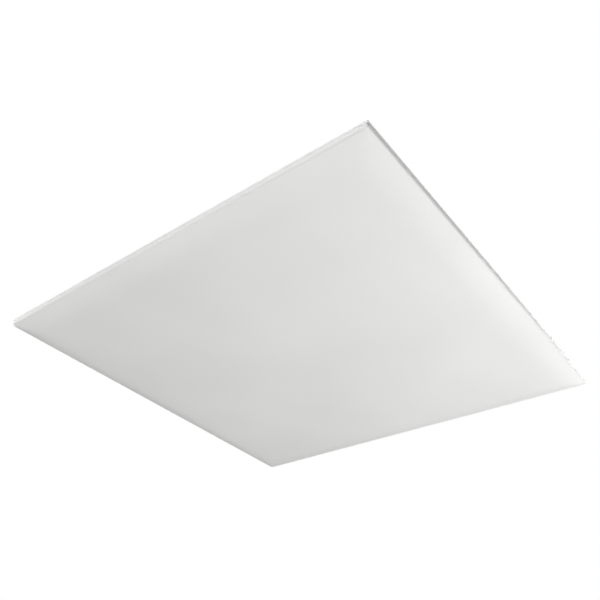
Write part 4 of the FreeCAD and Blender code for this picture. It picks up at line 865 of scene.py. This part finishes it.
def makePressings():
    # shallow pressed details of the sheet metal; each size is (length, width, rise)
    pan = {"top": 62.3, "rib": (420.0, 14.0, 1.4), "ribPlaces": (95, 135, 175),
           "short": (120.0, 10.0, 1.2), "shortPlace": 205}
    ribs = [(0, side * y, pan["top"], 0, 0) for side in (-1, 1) for y in pan["ribPlaces"]]
    beadSet("panRibs", ribs, pan["rib"], finish["pan"], "housing")
    crossRibs = [(side * pan["shortPlace"], 0, pan["top"], 90, 0) for side in (-1, 1)]
    beadSet("panCrossRibs", crossRibs, pan["short"], finish["pan"], "housing")
    # four spot welds on the foot of each hanger tab, all as far from its middle in x and y
    weld = {"x": 200, "y": 215, "apart": 5, "level": 63.65,
            "outline": [(0.0, 0.12), (1.1, 0.12), (1.5, 0.24), (1.9, 0.2), (2.2, 0.0)]}
    spots = [(sx * (weld["x"] + a), sy * (weld["y"] + b), weld["level"])
             for sx in (-1, 1) for sy in (-1, 1) for a in (-weld["apart"], weld["apart"])
             for b in (-weld["apart"], weld["apart"])]
    turnedSet("hangerWelds", weld["outline"], spots, finish["zinc"], "housing",
              steps=20)
    # knock-out rings in one long side of the gear box and louvres in the other, clear of its middle
    box = {"side": 56.0, "knockoutLevel": 80.0, "knockoutPlaces": (-110, -40, 40, 110),
           "knockout": [(9.4, 0.0), (9.4, 0.35), (10.0, 0.45), (10.6, 0.35), (10.6, 0.0)],
           "louvreLevel": 76.0, "louvreReach": 150, "louvrePitch": 20, "louvre": (14.0, 4.0, 0.8)}
    knockouts = [(x, -box["side"], box["knockoutLevel"]) for x in box["knockoutPlaces"]]
    turnedSet("knockoutRings", box["knockout"], knockouts, finish["box"], "housing",
              "Y", 40)
    louvres = [(x, box["side"], box["louvreLevel"], 0, -90)
               for x in range(-box["louvreReach"], box["louvreReach"] + 1, box["louvrePitch"])
               if abs(x) > box["louvrePitch"]]
    beadSet("boxLouvres", louvres, box["louvre"], finish["box"], "housing")
    cover = {"ribPlace": 85, "ribLevel": 99.75, "rib": (120.0, 10.0, 0.9), "rivetSide": 48.0,
             "rivetLevel": 100.8, "rivetPlaces": (-100, -50, 0, 50, 100),
             "rivet": [(0.0, 1.0), (0.9, 0.95), (1.7, 0.6), (2.1, 0.0)]}
    coverRibs = [(side * cover["ribPlace"], 0, cover["ribLevel"], 0, 0) for side in (-1, 1)]
    beadSet("coverRibs", coverRibs, cover["rib"], finish["box"], "cover")
    rivets = [(x, cover["rivetSide"], cover["rivetLevel"]) for x in cover["rivetPlaces"]]
    turnedSet("coverRivets", cover["rivet"], rivets, finish["zinc"], "cover",
              steps=24)
    print("pressings")


makeGasket()
makeScrews()
makeWires()
makeChips()
makeOptics()
makeConnectors()
makeDriverParts()
makePressings()


# levels and distances in metres; near the light nearPale is the share of plain white that the camera
# sees mixed into the floor, and from paleFrom to paleTo that share grows to all of it
studio = {
    "floorLevel": -2.6, "floorSize": 60.0, "floorColour": "#F3F3F2", "nearPale": 0.6, "paleFrom": 2.5,
    "paleTo": 9.0, "ambient": 0.1, "horizon": "#FFFFFF",
}
lamps = {
    # name: place, aim, size, watts, spread in degrees
    "key": ((0.4, -2.6, -0.9), (0.0, 0.0, 0.0), 1.2, 40.5, 180.0),
    "farFill": ((-0.35, 2.4, -2.3), (0.0, 0.0, 0.0), 1.0, 7.5, 100.0),
    "rightFill": ((1.05, 0.35, -0.7), (0.1, 0.0, 0.0), 0.5, 7.5, 180.0),
    "overhead": ((-0.4, -0.5, 2.4), (0.0, 0.0, 0.0), 2.0, 36.0, 180.0),
    # these two stand above the ceiling line: they light the sides and leave the face alone
    "leftSide": ((-2.4, -0.5, 0.9), (0.0, 0.0, 0.0), 1.2, 2.6, 50.0),
    "backSide": ((0.4, 2.4, 0.9), (0.0, 0.0, 0.0), 1.2, 6.5, 50.0),
}


def backdropRays(tree):
    # 1 for the rays that should find a white studio: from the camera, mirrored or let through
    path = addNode(tree, "ShaderNodeLightPath")
    seen = addNode(tree, "ShaderNodeMath", {"operation": "MAXIMUM"},
                   links={0: path.outputs["Is Camera Ray"], 1: path.outputs["Is Glossy Ray"]})
    return addNode(tree, "ShaderNodeMath", {"operation": "MAXIMUM"},
                   links={0: seen.outputs[0], 1: path.outputs["Is Transmission Ray"]}).outputs[0]


def makeFloor():
    half = studio["floorSize"] / 2
    level = studio["floorLevel"]
    points = [(-half, -half, level), (half, -half, level), (half, half, level), (-half, half, level)]
    # painted studio floor, matt; it pales towards the horizon and keeps the shadow under the light
    fixed = {"Base Color": linear(studio["floorColour"]), "Roughness": 0.9}
    material, tree, shader, place = newMaterial("paleFloor", fixed)
    away = addNode(tree, "ShaderNodeVectorMath", {"operation": "LENGTH"}, links={0: place})
    pale = addNode(tree, "ShaderNodeMapRange",
                   inputs={"From Min": studio["paleFrom"], "From Max": studio["paleTo"],
                           "To Min": studio["nearPale"], "To Max": 1.0},
                   links={"Value": away.outputs["Value"]})
    share = addNode(tree, "ShaderNodeMath", {"operation": "MULTIPLY"},
                    links={0: pale.outputs[0], 1: backdropRays(tree)})
    glow = addNode(tree, "ShaderNodeEmission",
                   inputs={"Color": linear(studio["horizon"]), "Strength": 1.0})
    both = addNode(tree, "ShaderNodeMixShader",
                   links={0: share.outputs[0], 1: shader.outputs[0], 2: glow.outputs[0]})
    end = [node for node in tree.nodes if node.type == "OUTPUT_MATERIAL"][0]
    tree.links.new(both.outputs[0], end.inputs["Surface"])
    floor = meshPiece("floor", points, [(0, 1, 2, 3)], material, False)


def makeWorld():
    world = bpy.data.worlds.new("studio")
    bpy.context.scene.world = world
    world.use_nodes = True
    tree = world.node_tree
    tree.nodes.clear()
    level = addNode(tree, "ShaderNodeMapRange",
                    inputs={"To Min": studio["ambient"], "To Max": 1.0},
                    links={"Value": backdropRays(tree)})
    sky = addNode(tree, "ShaderNodeBackground", inputs={"Color": linear(studio["horizon"])},
                  links={"Strength": level.outputs[0]})
    addNode(tree, "ShaderNodeOutputWorld", links={"Surface": sky.outputs[0]})


def makeLamps():
    for name, (place, aim, size, watts, spread) in lamps.items():
        lamp = bpy.data.lights.new(name, "AREA")
        lamp.shape = "DISK"
        lamp.size = size
        lamp.energy = watts
        lamp.spread = math.radians(spread)
        holder = bpy.data.objects.new(name, lamp)
        holder.location = place
        holder.rotation_mode = "QUATERNION"
        holder.rotation_quaternion = (Vector(aim) - Vector(place)).to_track_quat("-Z", "Y")
        holder.visible_camera = False
        bpy.context.scene.collection.objects.link(holder)


def makeCamera():
    view = {"place": (0.515, -0.6758, -0.5195), "look": (-0.54469, 0.59169, 0.59432), "roll": 4.554,
            "lens": 41.07, "shiftX": 0.077, "shiftY": -0.0058}
    camera = bpy.data.cameras.new("camera")
    camera.lens = view["lens"]
    camera.sensor_width = 36.0
    camera.shift_x = view["shiftX"]
    camera.shift_y = view["shiftY"]
    camera.clip_start = 0.01
    camera.clip_end = 100.0
    holder = bpy.data.objects.new("camera", camera)
    look = Vector(view["look"]).normalized()
    right = look.cross(Vector((0, 0, 1))).normalized()
    up = right.cross(look)
    turn = math.radians(view["roll"])
    right, up = (right * math.cos(turn) + up * math.sin(turn),
                 up * math.cos(turn) - right * math.sin(turn))
    rows = [[right[k], up[k], -look[k], view["place"][k]] for k in range(3)] + [[0, 0, 0, 1]]
    holder.matrix_world = Matrix(rows)
    bpy.context.scene.collection.objects.link(holder)
    bpy.context.scene.camera = holder


makeFloor()
makeWorld()
makeLamps()
makeCamera()
print("studio")
bpy.context.scene.view_settings.view_transform = "Standard"

print("finished")
